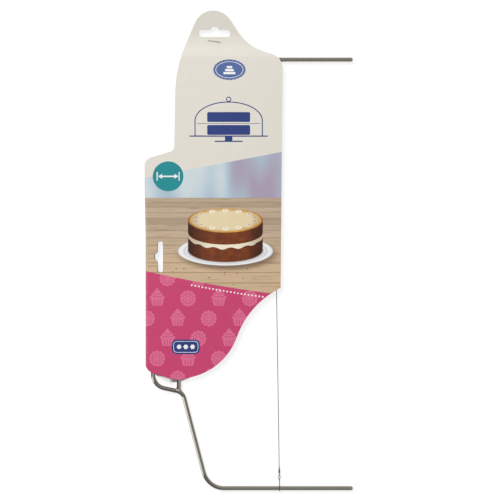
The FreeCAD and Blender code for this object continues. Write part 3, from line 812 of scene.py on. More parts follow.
def grow(
    name: str, path: Sequence[PathPoint], tree: NodeTree, sizes: dict[str, object], closed: bool = False
) -> Object:
    """Runs a tree on a path and keeps the result as a plain mesh.

    Args:
        name: name of the piece.
        path: points of the path.
        tree: tree that makes the piece.
        sizes: values of the tree's named inputs.
        closed: whether the path ends where it starts.

    Returns:
        The piece.
    """
    mesh = bpy.data.meshes.new(f"{name}_path")
    runs = [(i, i + 1) for i in range(len(path) - 1)]
    if closed:
        runs.append((len(path) - 1, 0))
    mesh.from_pydata([point.place * MM for point in path], runs, [])
    for key, values in (("bend", [p.bend * MM for p in path]), ("swell", [p.swell for p in path])):
        mesh.attributes.new(key, "FLOAT", "POINT").data.foreach_set("value", values)
    piece = add_object(name, mesh)
    modifier = piece.modifiers.new("maker", "NODES")
    modifier.node_group = tree
    for item in tree.interface.items_tree:
        if item.item_type == "SOCKET" and item.in_out == "INPUT" and item.name in sizes:
            modifier[item.identifier] = sizes[item.name]
    graph = bpy.context.evaluated_depsgraph_get()
    made = bpy.data.meshes.new_from_object(
        piece.evaluated_get(graph), preserve_all_data_layers=True, depsgraph=graph)
    piece.modifiers.clear()
    piece.data = made
    made.name = name
    return piece


def place_piece(piece: Object, body: str, node: str) -> None:
    """Puts a finished piece on its body in place of its CAD node.

    Args:
        piece: the piece.
        body: body that it moves with.
        node: CAD node that it stands for.
    """
    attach(piece, body)
    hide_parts(node)
    LOG.info("%s: %d faces, in place of %s", piece.name, len(piece.data.polygons), node)


@dataclass(frozen=True)
class RodFrame:
    """Bent rod, inner grip bar and the two welds that join them."""

    side_drop: float = 26.9
    root_drop: float = 4.1
    root_span: float = 254.2
    handle_span: float = 240.0
    leg_bend: float = 23.0
    root_bend: float = 10.5
    handle_bend: float = 15.0
    tip_chamfer: float = 1.4
    notch_count: int = 12
    notch_pitch: float = 7.0
    notch_depth: float = 0.5
    notch_width: float = 1.0
    notch_wall: float = 0.15
    notch_tip_margin: float = 8.9
    join_slope: float = 0.466
    bead_width: float = 1.3
    bead_depth_share: float = 0.4
    bead_ripple: float = 0.09
    bead_ripples: int = 17
    bead_steps: int = 136
    bead_sides: int = 14
    sides: int = 40

    def build(self) -> None:
        """Builds and dresses the frame's pieces."""
        self._bent_rod()
        self._grip_bar()
        for side, name in ((1, "upper_weld"), (-1, "lower_weld")):
            self._weld(name, side)

    def _notch_edges(self, first: float) -> list[float]:
        """Gives the places along a leg where each nick begins, bottoms, rises and ends.

        Args:
            first: middle of the nick furthest from the tip.

        Returns:
            The places in order towards the tip.
        """
        outer, inner = self.notch_width / 2, self.notch_width / 2 - self.notch_wall
        centres = [first + i * self.notch_pitch for i in range(self.notch_count)]
        return [centre + side for centre in centres for side in (-outer, -inner, inner, outer)]

    def _bent_rod(self) -> None:
        """Sweeps the rod through its six bends and nicks both legs."""
        low, high = node_box("frame_rod")
        radius, middle = (high.z - low.z) / 2, (high.z + low.z) / 2
        leg_y = high.y - radius
        first = high.x - self.notch_tip_margin - (self.notch_count - 1) * self.notch_pitch
        corners = [
            (self.root_drop + self.side_drop, leg_y, self.leg_bend),
            (self.root_drop, self.root_span / 2, self.root_bend),
            (low.x + radius, self.handle_span / 2, self.handle_bend),
        ]
        tip_share = (radius - self.tip_chamfer) / radius
        stations = [high.x - self.tip_chamfer, *reversed(self._notch_edges(first))]
        half = [PathPoint(Vector((high.x, leg_y, middle)), swell=tip_share)]
        half += [PathPoint(Vector((x, leg_y, middle))) for x in stations]
        half += [PathPoint(Vector((x, y, middle)), bend) for x, y, bend in corners]
        mirror = Vector((1, -1, 1))
        path = half + [PathPoint(p.place * mirror, p.bend, p.swell) for p in reversed(half)]
        rod = grow("bent_rod", path, ROUND_SWEEP, {
            "Width": 2 * radius * MM,
            "Sides": self.sides,
            "Notch First": first * MM,
            "Notch Pitch": self.notch_pitch * MM,
            "Notch Last": self.notch_count - 1.0,
            "Notch Half": (self.notch_width - self.notch_wall) / 2 * MM,
            "Notch Floor": (high.y - self.notch_depth) * MM,
            "Finish": ROD_STEEL.material(),
        })
        place_piece(rod, "frame", "frame_rod")

    def _grip_bar(self) -> None:
        """Sweeps the straight inner bar between its welds."""
        low, high = node_box("grip_bar")
        centre = (low + high) / 2
        path = [PathPoint(Vector((centre.x, y, centre.z))) for y in (low.y, high.y)]
        piece = grow("inner_bar", path, ROUND_SWEEP, {
            "Width": (high.z - low.z) * MM, "Sides": self.sides, "Finish": SHADED_BAR_STEEL.material(),
        })
        place_piece(piece, "frame", "grip_bar")

    def _weld(self, node: str, side: int) -> None:
        """Runs a rippled bead round the corner between the bar's end and the bent rod.

        Args:
            node: weld that the bead stands for.
            side: 1 for the upper end of the bar, -1 for the lower.
        """
        bar_low, bar_high = node_box("grip_bar")
        radius, middle = (bar_high.z - bar_low.z) / 2, (bar_high.z + bar_low.z) / 2
        low, high = node_box(node)
        join_y = high.y if side > 0 else -low.y
        stretch = math.hypot(1, self.join_slope)
        path = []
        for i in range(self.bead_steps):
            turn = i / self.bead_steps * FULL_TURN
            x, z = radius * math.cos(turn), radius * math.sin(turn)
            depth = math.hypot(x, radius * self.bead_depth_share)
            y = side * (join_y + self.join_slope * x - stretch * depth)
            ripple = 1 + self.bead_ripple * math.sin(turn * self.bead_ripples)
            path.append(PathPoint(Vector((x, y, middle + z)), swell=ripple))
        bead = grow(f"{node}_bead", path, ROUND_SWEEP, {
            "Width": self.bead_width * MM, "Sides": self.bead_sides, "Finish": WELD_STEEL.material(),
        }, closed=True)
        place_piece(bead, "frame", node)


@dataclass(frozen=True)
class CuttingWire:
    """Twisted cutting wire with an eye round each leg and its tail wound back on it."""

    skew: float = 7.0
    eye_length: float = 15.5
    eye_radius: float = 3.0
    wire_radius: float = 0.4
    lay_radius: float = 0.2
    lay_length: float = 3.6
    strands: int = 3
    throat_spread: float = 0.68
    eye_spread: float = 0.75
    wrap_lead: float = 0.8
    wrap_length: float = 3.2
    wrap_turns: int = 4
    tail_length: float = 2.6
    tail_turns: float = 1.25
    run_steps: int = 14
    loop_steps: int = 40
    turn_steps: int = 24

    def build(self) -> None:
        """Builds and dresses the strand and both eyes."""
        low, high = node_box("frame_rod")
        leg_y = high.y - (high.z - low.z) / 2
        strand_low, strand_high = node_box("cutting_wire")
        middle = (strand_low + strand_high) / 2
        axis = Vector((-self.skew, 2 * leg_y, 0)).normalized()
        upper = Vector((middle.x, 0, middle.z)) + axis * (leg_y / axis.y)
        lower = Vector((middle.x, 0, middle.z)) - axis * (leg_y / axis.y)
        ends = [upper - axis * self.eye_length, lower + axis * self.eye_length]
        self._lay("wire_strand", "cutting_wire", ends)
        for name, foot, out in (("upper_wire_eye", upper, axis), ("lower_wire_eye", lower, -axis)):
            self._lay(f"{name}_loop", name, self._eye(foot, out))

    def _lay(self, name: str, node: str, line: Sequence[Vector]) -> None:
        """Lays the wire's strands along a line.

        Args:
            name: name of the piece.
            node: CAD node that it stands for.
            line: points that the wire follows.
        """
        piece = grow(name, [PathPoint(place) for place in line], TWIST, {
            "Strands": self.strands,
            "Strand Radius": (self.wire_radius - self.lay_radius) * MM,
            "Lay Radius": self.lay_radius * MM,
            "Lay Length": self.lay_length * MM,
            "Finish": WIRE_STEEL.material(),
        })
        place_piece(piece, "wire", node)

    def _eye(self, foot: Vector, out: Vector) -> list[Vector]:
        """Gives the line of one eye, from the strand round the leg to the end of its tail.

        Args:
            foot: point on the leg's axis that the eye goes round.
            out: direction from the strand to the leg.

        Returns:
            Points along the eye.
        """
        rise = math.asin(self.eye_radius / self.eye_length)
        start, end = math.pi / 2 + rise, -math.pi / 2 - rise
        parts = [i / self.run_steps for i in range(self.run_steps)]
        line = [self._run(part, start, 1, 0.0) for part in parts]
        for i in range(self.loop_steps + 1):
            turn = start + (end - start) * i / self.loop_steps
            line.append((0, self.eye_radius * math.cos(turn), self.eye_radius * math.sin(turn)))
        line += [self._run(part, start, -1, self.throat_spread) for part in reversed(parts)]
        line += self._tail()
        aside, up = Vector((out.y, -out.x, 0)), Vector((0, 0, 1))
        return [foot + aside * x + out * y + up * z for x, y, z in line]

    def _run(self, part: float, start: float, side: int, throat: float) -> Triple:
        """Gives a point of a straight run of the eye, which swells sideways near the throat.

        Args:
            part: share of the run, from the throat to the loop.
            start: turn at which the loop begins.
            side: 1 for the run above the leg, -1 for the one below it.
            throat: the run's distance from the strand at the throat.

        Returns:
            Its places to the side, along the wire and up.
        """
        x = side * self.eye_spread * math.sin(math.pi * min(2 * part, 1.0))
        y = self.eye_radius * math.cos(start) * part - self.eye_length * (1 - part)
        z = self.eye_radius * math.sin(start) * part + throat * (1 - part)
        return x, y, side * z

    def _tail(self) -> list[Triple]:
        """Winds the tail tightly round the strand and then loosely off it.

        Returns:
            Its points' places to the side, along the wire and up.
        """
        line = []
        for i in range(int((self.wrap_turns + self.tail_turns) * self.turn_steps) + 1):
            turns = i / self.turn_steps
            tight = min(turns, self.wrap_turns) / self.wrap_turns
            loose = max(turns - self.wrap_turns, 0.0) / self.tail_turns
            y = -self.eye_length - self.wrap_lead - self.wrap_length * tight - self.tail_length * loose
            x = self.throat_spread * math.sin(turns * FULL_TURN)
            line.append((x, y, -self.throat_spread * math.cos(turns * FULL_TURN)))
        return line


@dataclass(frozen=True)
class Corner:
    """Corner of an outline, and the radius that rounds it."""

    x: float
    y: float
    radius: float = 0.0


# Points of drawn outlines: the fewest steps of a round corner, the turn in degrees between the points of a
# bar's corner, and the points of a ring at least, for each lobe and for each millimetre of its half width.
CORNER_LEAST = 2
BAR_STEP = 15.0
RING_LEAST = 20
RING_LOBE = 8
RING_DENSITY = 4


def rounded(corners: Sequence[Corner], step: float) -> Outline:
    """Draws an outline with rounded corners.

    Args:
        corners: its corners in order.
        step: turn in degrees between the points of a round corner.

    Returns:
        The closed outline's points.
    """
    points = []
    for i, corner in enumerate(corners):
        here = Vector((corner.x, corner.y))
        if not corner.radius:
            points.append(here.to_tuple())
            continue
        before, after = corners[i - 1], corners[(i + 1) % len(corners)]
        back = (Vector((before.x, before.y)) - here).normalized()
        ahead = (Vector((after.x, after.y)) - here).normalized()
        half = back.angle(ahead) / 2
        centre = here + (back + ahead).normalized() * (corner.radius / math.sin(half))
        start = here + back * (corner.radius / math.tan(half)) - centre
        sweep = start.angle_signed(here + ahead * (corner.radius / math.tan(half)) - centre)
        count = max(CORNER_LEAST, math.ceil(abs(sweep) / math.radians(step)))
        for k in range(count + 1):
            turn = -sweep * k / count
            cosine, sine = math.cos(turn), math.sin(turn)
            x = centre.x + start.x * cosine - start.y * sine
            points.append((x, centre.y + start.x * sine + start.y * cosine))
    return points


def ring(x: float, y: float, wide: float, high: float = 0.0, lobes: int = 0, depth: float = 0.0) -> Outline:
    """Draws a circle or an ellipse, plain or fluted.

    Args:
        x: centre.
        y: centre.
        wide: half width.
        high: half height, or 0 for a circle.
        lobes: count of flutes.
        depth: depth of the flutes.

    Returns:
        The closed outline's points.
    """
    high = high or wide
    count = max(RING_LEAST, lobes * RING_LOBE, int(wide * RING_DENSITY))
    points = []
    for i in range(count):
        turn = i / count * FULL_TURN
        flute = 1 - depth / wide * (1 - abs(math.cos(turn * lobes / 2))) if lobes else 1
        points.append((x + wide * flute * math.cos(turn), y + high * flute * math.sin(turn)))
    return points


def bar(x: float, y: float, width: float, height: float, radius: float = 0.0) -> Outline:
    """Draws a rectangle about its centre.

    Args:
        x: centre.
        y: centre.
        width: full width.
        height: full height.
        radius: radius of its corners.

    Returns:
        The closed outline's points.
    """
    across, up = width / 2, height / 2
    ends = ((-across, -up), (across, -up), (across, up), (-across, up))
    shape = rounded([Corner(*end, radius) for end in ends], BAR_STEP)
    return [(x + px, y + py) for px, py in shape]


def ribbon(line: Sequence[Point], width: float) -> Outline:
    """Draws an open line of even width.

    Args:
        line: points of the line.
        width: full width.

    Returns:
        The closed outline's points.
    """
    left, right = [], []
    for i, (x, y) in enumerate(line):
        before, after = line[max(i - 1, 0)], line[min(i + 1, len(line) - 1)]
        run = Vector((after[0] - before[0], after[1] - before[1])).normalized()
        left.append((x - run.y * width / 2, y + run.x * width / 2))
        right.append((x + run.y * width / 2, y - run.x * width / 2))
    return left + right[::-1]


@dataclass(frozen=True)
class Fold:
    """How the flat blank becomes the folded card.

    Blank coordinates are the front panel's own, and run on to the left round the spine onto the back.
    """

    left: float
    middle: float
    half: float
    radius: float = 2.5
    thickness: float = 0.42
    seam_gap: float = 0.06
    pinch_start: float = 231.5
    pinch_end: float = 247.1
    bow: float = 1.2
    bow_low: float = -117.5
    bow_high: float = 231.5
    bow_width: float = 146.3
    lean_start: float = 253.5
    lean_slope: float = 0.23
    lean_soft: float = 4.0
    bulge: float = 1.0
    bulge_start: float = 36.0
    bulge_end: float = 98.0
    bulge_fade: float = 30.0
    gap_bow: float = 5.8
    gap_ramp: float = 7.0
    gap_left: float = -25.5
    gap_right: float = -3.0
    gap_top: float = -100.0
    gap_foot: float = -109.0

    @property
    def bend(self) -> float:
        """Radius of the fold at the middle of the board."""
        return self.radius - self.thickness / 2

    @property
    def crease(self) -> float:
        """Place where the front panel begins to turn."""
        return self.left + self.radius

    @property
    def arc(self) -> float:
        """Length of one quarter bend."""
        return self.bend * math.pi / 2

    @property
    def flat(self) -> float:
        """Length of the spine between its bends."""
        return 2 * (self.half - self.radius)

    @property
    def mirror(self) -> float:
        """Blank coordinate of the middle of the spine."""
        return self.crease - self.arc - self.flat / 2

    def opposite(self, u: float) -> float:
        """Gives the blank coordinate that lies behind another."""
        return 2 * self.mirror - u

    def behind(self, outline: Outline) -> Outline:
        """Gives the outline on the back panel that lies behind one on the front."""
        return [(self.opposite(u), y) for u, y in outline]

    def unroll(self, x: float) -> float:
        """Gives the blank coordinate of a place in plan on the front panel or its bend."""
        run = self.crease - x
        return x if run <= 0 else self.crease - self.bend * math.asin(min(run / self.bend, 1.0))

    def wear(self, u: float) -> float:
        """Gives how worn the ink is, which is most in the middle of a bend."""
        run = self.crease - max(u, self.opposite(u))
        return math.sin(math.pi * share(run, 0.0, self.arc))

    def rise(self, y: float) -> float:
        """Gives how far a panel's middle layer lies from the card's middle, which is pinched at the top."""
        apart, shut = self.half - self.thickness / 2, (self.seam_gap + self.thickness) / 2
        return apart + (shut - apart) * eased(y, self.pinch_start, self.pinch_end)

    def swell(self, x: float, y: float) -> float:
        """Gives the front panel's slight bow."""
        across = math.sin(math.pi * share(x, self.crease, self.crease + self.bow_width))
        return self.bow * across * math.sin(math.pi * share(y, self.bow_low, self.bow_high))

    def lean(self, y: float) -> float:
        """Gives how far the tongue leans forward, from a soft crease at its slot."""
        run = max(0.0, y - self.lean_start)
        return self.lean_slope * run * run / (run + self.lean_soft)

    def stretch(self, u: float, y: float) -> float:
        """Gives how far the loose top of the spine stands out to the left."""
        up = eased(y, self.bulge_start, self.bulge_end)
        return self.bulge * up * (1 - eased(u, self.crease, self.crease + self.bulge_fade))

    def spring(self, x: float, y: float) -> float:
        """Gives how far the back panel's foot springs forward between the two grip bars.

        Args:
            x: place across the card.
            y: place up the card.

        Returns:
            The distance.
        """
        off_left = eased(x, self.gap_left, self.gap_left + self.gap_ramp)
        off_right = eased(x, self.gap_right, self.gap_right - self.gap_ramp)
        return self.gap_bow * off_left * off_right * eased(y, self.gap_top, self.gap_foot)

    def place(self, u: float, y: float, outward: float) -> Vector:
        """Folds a point of the blank.

        Args:
            u: place across the blank.
            y: place up the blank.
            outward: distance from the board's middle layer towards the outside.

        Returns:
            The point on the folded card.
        """
        side = 1
        if u < self.mirror:
            side, u = -1, self.opposite(u)
        run = self.crease - u
        if run <= 0:
            x, height = u, self.rise(y) + outward
        elif run <= self.arc:
            reach = self.bend + outward
            x = self.crease - reach * math.sin(run / self.bend)
            height = self.half - self.radius + reach * math.cos(run / self.bend)
        else:
            x = self.crease - self.bend - outward
            height = self.half - self.radius - (run - self.arc)
        lift = self.lean(y) + (self.swell(x, y) if side > 0 else self.spring(x, y))
        return Vector((x - self.stretch(u, y), y, self.middle + side * height + lift))


class PrintSheet:
    """Colour fields of the blank, painted one over another."""

    def __init__(self) -> None:
        """Starts with a bare sheet."""
        self.fields: list[tuple[Print, Outline]] = []

    def paint(self, colour: Print, *outlines: Outline) -> None:
        """Lays one or more fields of a colour on top."""
        self.fields += [(colour, outline) for outline in outlines]


@dataclass(frozen=True)
class Biscuit:
    """Fluted round biscuit with a groove and holes, in shares of its radius."""

    flutes: int = 12
    flute_share: float = 0.16
    groove_shares: Span = (0.66, 0.59)
    holes: int = 6
    hole_place_share: float = 0.34
    hole_share: float = 0.08

    def paint(self, sheet: PrintSheet, x: float, y: float, size: float) -> None:
        """Paints one biscuit.

        Args:
            sheet: sheet that it goes on.
            x: centre.
            y: centre.
            size: radius.
        """
        outer, inner = self.groove_shares
        sheet.paint(Print.ROSE, ring(x, y, size, lobes=self.flutes, depth=size * self.flute_share))
        sheet.paint(Print.PINK, ring(x, y, size * outer))
        sheet.paint(Print.ROSE, ring(x, y, size * inner))
        away = size * self.hole_place_share
        for i in range(self.holes):
            turn = i / self.holes * FULL_TURN
            px, py = x + away * math.cos(turn), y + away * math.sin(turn)
            sheet.paint(Print.PINK, ring(px, py, size * self.hole_share))


@dataclass(frozen=True)
class Bun:
    """Small bun in its pleated paper case, whose shares are of its size."""

    case_shares: tuple[Point, ...] = ((-0.6, -0.89), (0.6, -0.89), (0.8, -0.09), (-0.8, -0.09))
    case_corner: float = 0.6
    case_step: float = 20.0
    pleat_shares: Triple = (-0.3, 0.0, 0.3)
    pleat_flare: float = 1.3
    pleat_end_shares: Span = (-0.8, -0.14)
    pleat_share: float = 0.09
    tier_shares: tuple[Triple, ...] = (
        (0.13, 0.94, 0.29), (0.47, 0.7, 0.27), (0.77, 0.41, 0.23), (1.06, 0.16, 0.16))
    swirl_shares: tuple[Point, ...] = ((0.3, 0.66), (0.61, 0.4))
    swirl_sag: float = 0.11
    swirl_share: float = 0.07
    swirl_steps: int = 8

    def paint(self, sheet: PrintSheet, x: float, y: float, size: float) -> None:
        """Paints one bun.

        Args:
            sheet: sheet that it goes on.
            x: centre.
            y: centre.
            size: half of its width, nearly.
        """
        case = [Corner(x + px * size, y + py * size, self.case_corner) for px, py in self.case_shares]
        sheet.paint(Print.ROSE, rounded(case, self.case_step))
        foot, head = self.pleat_end_shares
        for side in self.pleat_shares:
            low = (x + side * size, y + foot * size)
            high = (x + side * self.pleat_flare * size, y + head * size)
            sheet.paint(Print.PINK, ribbon([low, high], size * self.pleat_share))
        for lift, wide, high in self.tier_shares:
            sheet.paint(Print.ROSE, ring(x, y + lift * size, wide * size, high * size))
        turns = [i / self.swirl_steps * math.pi for i in range(self.swirl_steps + 1)]
        for lift, wide in self.swirl_shares:
            curve = [
                (x - wide * size * math.cos(turn), y + (lift - self.swirl_sag * math.sin(turn)) * size)
                for turn in turns]
            sheet.paint(Print.PINK, ribbon(curve, size * self.swirl_share))


@dataclass(frozen=True)
class Layer:
    """Round layer of the printed cake: its colour, its lift, its height and the waves in its foot."""

    colour: Print
    lift: float
    height: float
    wave: float = 0.0


@dataclass(frozen=True)
class LayerCake:
    """Filled sponge on a plate, and crumbs on the table."""

    foot: float = 26.0
    layers: tuple[Layer, ...] = (
        Layer(Print.CRUST, 0.0, 15.0), Layer(Print.FILLING, 14.2, 5.0, 1.2), Layer(Print.CRUST, 18.4, 13.0))
    layer_steps: int = 48
    layer_ripple: float = 0.9
    layer_flatten: float = 0.98
    crumb_lift: float = 0.4
    crumb_inset: Point = (1.6, 0.8)
    dabs: int = 14
    dab_lift: float = 0.8
    dab_inset: Point = (7.5, 3.4)
    dab_size: Point = (3.6, 2.0)
    dab_lobes: int = 8
    dab_depth: float = 0.5
    nut_lift: float = 0.5
    nut_size: Point = (0.9, 0.5)
    seed: int = 7
    spills: int = 26
    spill_x: Span = (-26.0, 104.0)
    spill_y: Span = (-14.0, 20.0)
    spill_wide: Span = (0.4, 1.0)
    spill_high: Span = (0.3, 0.6)
    spill_margin: float = 2.0
    plate_margin: Point = (55.0, 20.0)

    def paint(self, sheet: PrintSheet, hem: Callable[[float], float]) -> None:
        """Paints the plate, the cake and the crumbs.

        Args:
            sheet: sheet that they go on.
            hem: gives the height of the picture's lower edge by the place across.
        """
        top = SPONGE_TOP
        sheet.paint(Print.PLATE, ring(top.x, PLATE_RIM.y, PLATE_RIM.wide, PLATE_RIM.high))
        for layer in self.layers:
            sheet.paint(layer.colour, self._side(layer))
        sheet.paint(Print.RIM, ring(top.x, top.y, top.wide, top.high))
        inset_x, inset_y = self.crumb_inset
        crumb = ring(top.x, top.y + self.crumb_lift, top.wide - inset_x, top.high - inset_y)
        sheet.paint(Print.CRUMB, crumb)
        inset_x, inset_y = self.dab_inset
        for i in range(self.dabs):
            turn = (i + 0.5) / self.dabs * FULL_TURN
            x = top.x + (top.wide - inset_x) * math.cos(turn)
            y = top.y + self.dab_lift + (top.high - inset_y) * math.sin(turn)
            dab = ring(x, y, *self.dab_size, lobes=self.dab_lobes, depth=self.dab_depth)
            sheet.paint(Print.FILLING, dab)
            sheet.paint(Print.RIM, ring(x, y + self.nut_lift, *self.nut_size))
        self._spill(sheet, hem)

    def _side(self, layer: Layer) -> Outline:
        """Draws the near side of a round layer.

        Args:
            layer: the layer.

        Returns:
            The closed outline's points.
        """
        top, low = SPONGE_TOP, self.foot + layer.lift
        near = []
        for i in range(self.layer_steps + 1):
            turn = math.pi + math.pi * i / self.layer_steps
            drip = layer.wave * math.sin(i / self.layer_steps * math.pi) * math.sin(i * self.layer_ripple)
            near.append((top.x + top.wide * math.cos(turn), low + top.high * math.sin(turn) - drip))
        far = [(x, low + layer.height + (y - low) * self.layer_flatten) for x, y in reversed(near)]
        return near + far

    def _spill(self, sheet: PrintSheet, hem: Callable[[float], float]) -> None:
        """Strews crumbs over the table, clear of the plate and of the picture's lower edge.

        Args:
            sheet: sheet that they go on.
            hem: gives the height of that edge by the place across.
        """
        draw = random.Random(self.seed)
        beside, before = self.plate_margin
        for _ in range(self.spills):
            x, y = draw.uniform(*self.spill_x), draw.uniform(*self.spill_y)
            on_plate = abs(x - SPONGE_TOP.x) < beside and y > self.foot - before
            if y < hem(x) + self.spill_margin or on_plate:
                continue
            size = draw.uniform(*self.spill_wide), draw.uniform(*self.spill_high)
            sheet.paint(Print.CRUST, ring(x, y, *size))


@dataclass(frozen=True)
class SizeDisc:
    """Teal disc with a double arrow between two end lines."""

    x: float = -10.9
    y: float = 104.5
    radius: float = 16.0
    shaft: Point = (14.0, 1.5)
    head_tip: float = 10.4
    head_foot: float = 6.4
    head_half: float = 2.7
    stop_place: float = 11.4
    stop: Point = (1.1, 9.0)

    def paint(self, sheet: PrintSheet) -> None:
        """Paints the disc.

        Args:
            sheet: sheet that it goes on.
        """
        sheet.paint(Print.TEAL, ring(self.x, self.y, self.radius))
        sheet.paint(Print.WHITE, bar(self.x, self.y, *self.shaft))
        for side in (-1, 1):
            foot = self.x + side * self.head_foot
            tip = (self.x + side * self.head_tip, self.y)
            head = [tip, (foot, self.y + self.head_half), (foot, self.y - self.head_half)]
            sheet.paint(Print.WHITE, head)
            sheet.paint(Print.WHITE, bar(self.x + side * self.stop_place, self.y, *self.stop))


@dataclass(frozen=True)
class TierBadge:
    """Fluted blue badge with a small tiered cake."""

    x: float = 54.3
    y: float = 218.6
    rim: Point = (17.6, 11.2)
    rim_lobes: int = 26
    rim_depth: float = 1.0
    line: Point = (14.9, 8.9)
    field: Point = (14.3, 8.4)
    tiers: tuple[Point, ...] = ((-3.6, 13.0), (-0.4, 9.4), (2.8, 5.8))
    tier_height: float = 2.4
    tier_corner: float = 0.7

    def paint(self, sheet: PrintSheet) -> None:
        """Paints the badge.

        Args:
            sheet: sheet that it goes on.
        """
        x, y = self.x, self.y
        sheet.paint(Print.BLUE, ring(x, y, *self.rim, lobes=self.rim_lobes, depth=self.rim_depth))
        sheet.paint(Print.WHITE, ring(x, y, *self.line))
        sheet.paint(Print.BLUE, ring(x, y, *self.field))
        for lift, wide in self.tiers:
            sheet.paint(Print.WHITE, bar(x, y + lift, wide, self.tier_height, self.tier_corner))


@dataclass(frozen=True)
class FlowerBadge:
    """Navy badge with a row of flowers."""

    x: float = 7.6
    y: float = -77.9
    plate: Triple = (30.0, 15.6, 5.0)
    line: Triple = (26.6, 12.2, 3.6)
    field: Triple = (25.6, 11.2, 3.2)
    flower: float = 2.6
    flower_pitch: float = 7.2
    petals: int = 6
    petal_depth: float = 0.6

    def paint(self, sheet: PrintSheet) -> None:
        """Paints the badge.

        Args:
            sheet: sheet that it goes on.
        """
        x, y = self.x, self.y
        for colour, size in ((Print.NAVY, self.plate), (Print.WHITE, self.line), (Print.NAVY, self.field)):
            sheet.paint(colour, bar(x, y, *size))
        for i in (-1, 0, 1):
            spot = x + i * self.flower_pitch
            sheet.paint(Print.WHITE, ring(spot, y, self.flower, lobes=self.petals, depth=self.petal_depth))


@dataclass(frozen=True)
class DomeDrawing:
    """Line drawing of a cake under a glass dome, whose bars each have a lift, two sizes and a corner."""

    x: float = 53.5
    plate: float = 147.5
    wide: float = 36.0
    spring: float = 164.0
    crown: float = 20.0
    steps: int = 36
    line: float = 1.1
    knob_lift: float = 3.0
    knob: Span = (2.8, 1.8)
    stand: tuple[Quad, ...] = ((0.0, 84.0, 1.3, 0.6), (-3.0, 8.0, 5.0, 0.0), (-5.6, 30.0, 1.3, 0.6))
    cake: tuple[Quad, ...] = ((6.6, 46.0, 10.6, 1.6), (20.4, 46.0, 10.6, 1.6), (13.5, 68.0, 0.5, 0.0))

    def paint(self, sheet: PrintSheet) -> None:
        """Paints the drawing.

        Args:
            sheet: sheet that it goes on.
        """
        x, wide = self.x, self.wide
        turns = [i / self.steps * math.pi for i in range(self.steps + 1)]
        arch = [(x + wide * math.cos(turn), self.spring + self.crown * math.sin(turn)) for turn in turns]
        sheet.paint(Print.NAVY, ribbon([(x + wide, self.plate), *arch, (x - wide, self.plate)], self.line))
        self._bars(sheet, self.stand)
        for colour, radius in zip((Print.NAVY, Print.CREAM), self.knob):
            sheet.paint(colour, ring(x, self.spring + self.crown + self.knob_lift, radius))
        self._bars(sheet, self.cake)

    def _bars(self, sheet: PrintSheet, bars: Sequence[Quad]) -> None:
        """Paints bars over or under the stand's plate."""
        sheet.paint(Print.NAVY, *(bar(self.x, self.plate + lift, *sizes) for lift, *sizes in bars))


@dataclass(frozen=True)
class CardPrint:
    """Plain kitchen print of the card: cream top, picture band and pink foot."""

    left: float = -42.0
    right: float = 115.0
    back: float = -195.0
    foot: float = -125.0
    band_left: float = 101.4
    band_right: float = 131.5
    hem_height: float = 3.2
    hem_start: float = -35.3
    hem_slope: float = -0.227
    hem_curve: float = 0.00036
    hem_steps: int = 40
    bead_span: Span = (14.0, 90.0)
    bead_drop: float = 4.8
    bead_radius: float = 0.95
    motif: float = 8.8
    motif_start: Point = (-34.0, -112.0)
    motif_pitch: Point = (33.0, 21.5)
    motif_shift: float = 11.0
    motif_rows: range = range(8)
    motif_columns: range = range(-5, 6)
    motif_limit: float = 100.0

    def hem(self, x: float) -> float:
        """Gives the height of the line between picture and pink foot."""
        run = x - self.hem_start
        return self.hem_height + self.hem_slope * run + self.hem_curve * run ** 2

    def sheet(self) -> PrintSheet:
        """Paints the whole blank.

        Returns:
            The painted sheet.
        """
        sheet = PrintSheet()
        self._pink_foot(sheet)
        self._picture(sheet)
        LayerCake().paint(sheet, self.hem)
        for drawing in (SizeDisc(), TierBadge(), FlowerBadge(), DomeDrawing()):
            drawing.paint(sheet)
        return sheet

    def _hem_line(self, start: float, end: float, drop: float = 0.0) -> Outline:
        """Follows the line between picture and foot, from one side to the other."""
        xs = [start + (end - start) * i / self.hem_steps for i in range(self.hem_steps + 1)]
        return [(x, self.hem(x) - drop) for x in xs]

    def _pink_foot(self, sheet: PrintSheet) -> None:
        """Paints the pink foot with its biscuits, buns and beaded line.

        Args:
            sheet: sheet that it goes on.
        """
        top = self._hem_line(self.right, self.back)
        sheet.paint(Print.PINK, [(self.back, self.foot), (self.right, self.foot), *top])
        across, up = self.motif_pitch
        for row in self.motif_rows:
            for column in self.motif_columns:
                x = self.motif_start[0] + column * across + row * self.motif_shift % across
                y = self.motif_start[1] + row * up
                if y > self.hem(x) + self.motif / 2 or x > self.motif_limit:
                    continue
                motif = Biscuit() if (row + column) % 2 else Bun()
                motif.paint(sheet, x, y, self.motif)
        top = self._hem_line(self.back, self.left)
        sheet.paint(Print.CREAM, [*top, (self.left, self.band_left), (self.back, self.band_left)])
        for x, y in self._hem_line(*self.bead_span, drop=self.bead_drop)[::2]:
            sheet.paint(Print.WHITE, ring(x, y, self.bead_radius))

    def _picture(self, sheet: PrintSheet) -> None:
        """Paints the picture's wall and table.

        Args:
            sheet: sheet that they go on.
        """
        far = [(self.left, HORIZON), (self.right, HORIZON)]
        sheet.paint(Print.WOOD, [*self._hem_line(self.left, self.right), *reversed(far)])
        sheet.paint(Print.HAZE, [*far, (self.right, self.band_right), (self.left, self.band_left)])


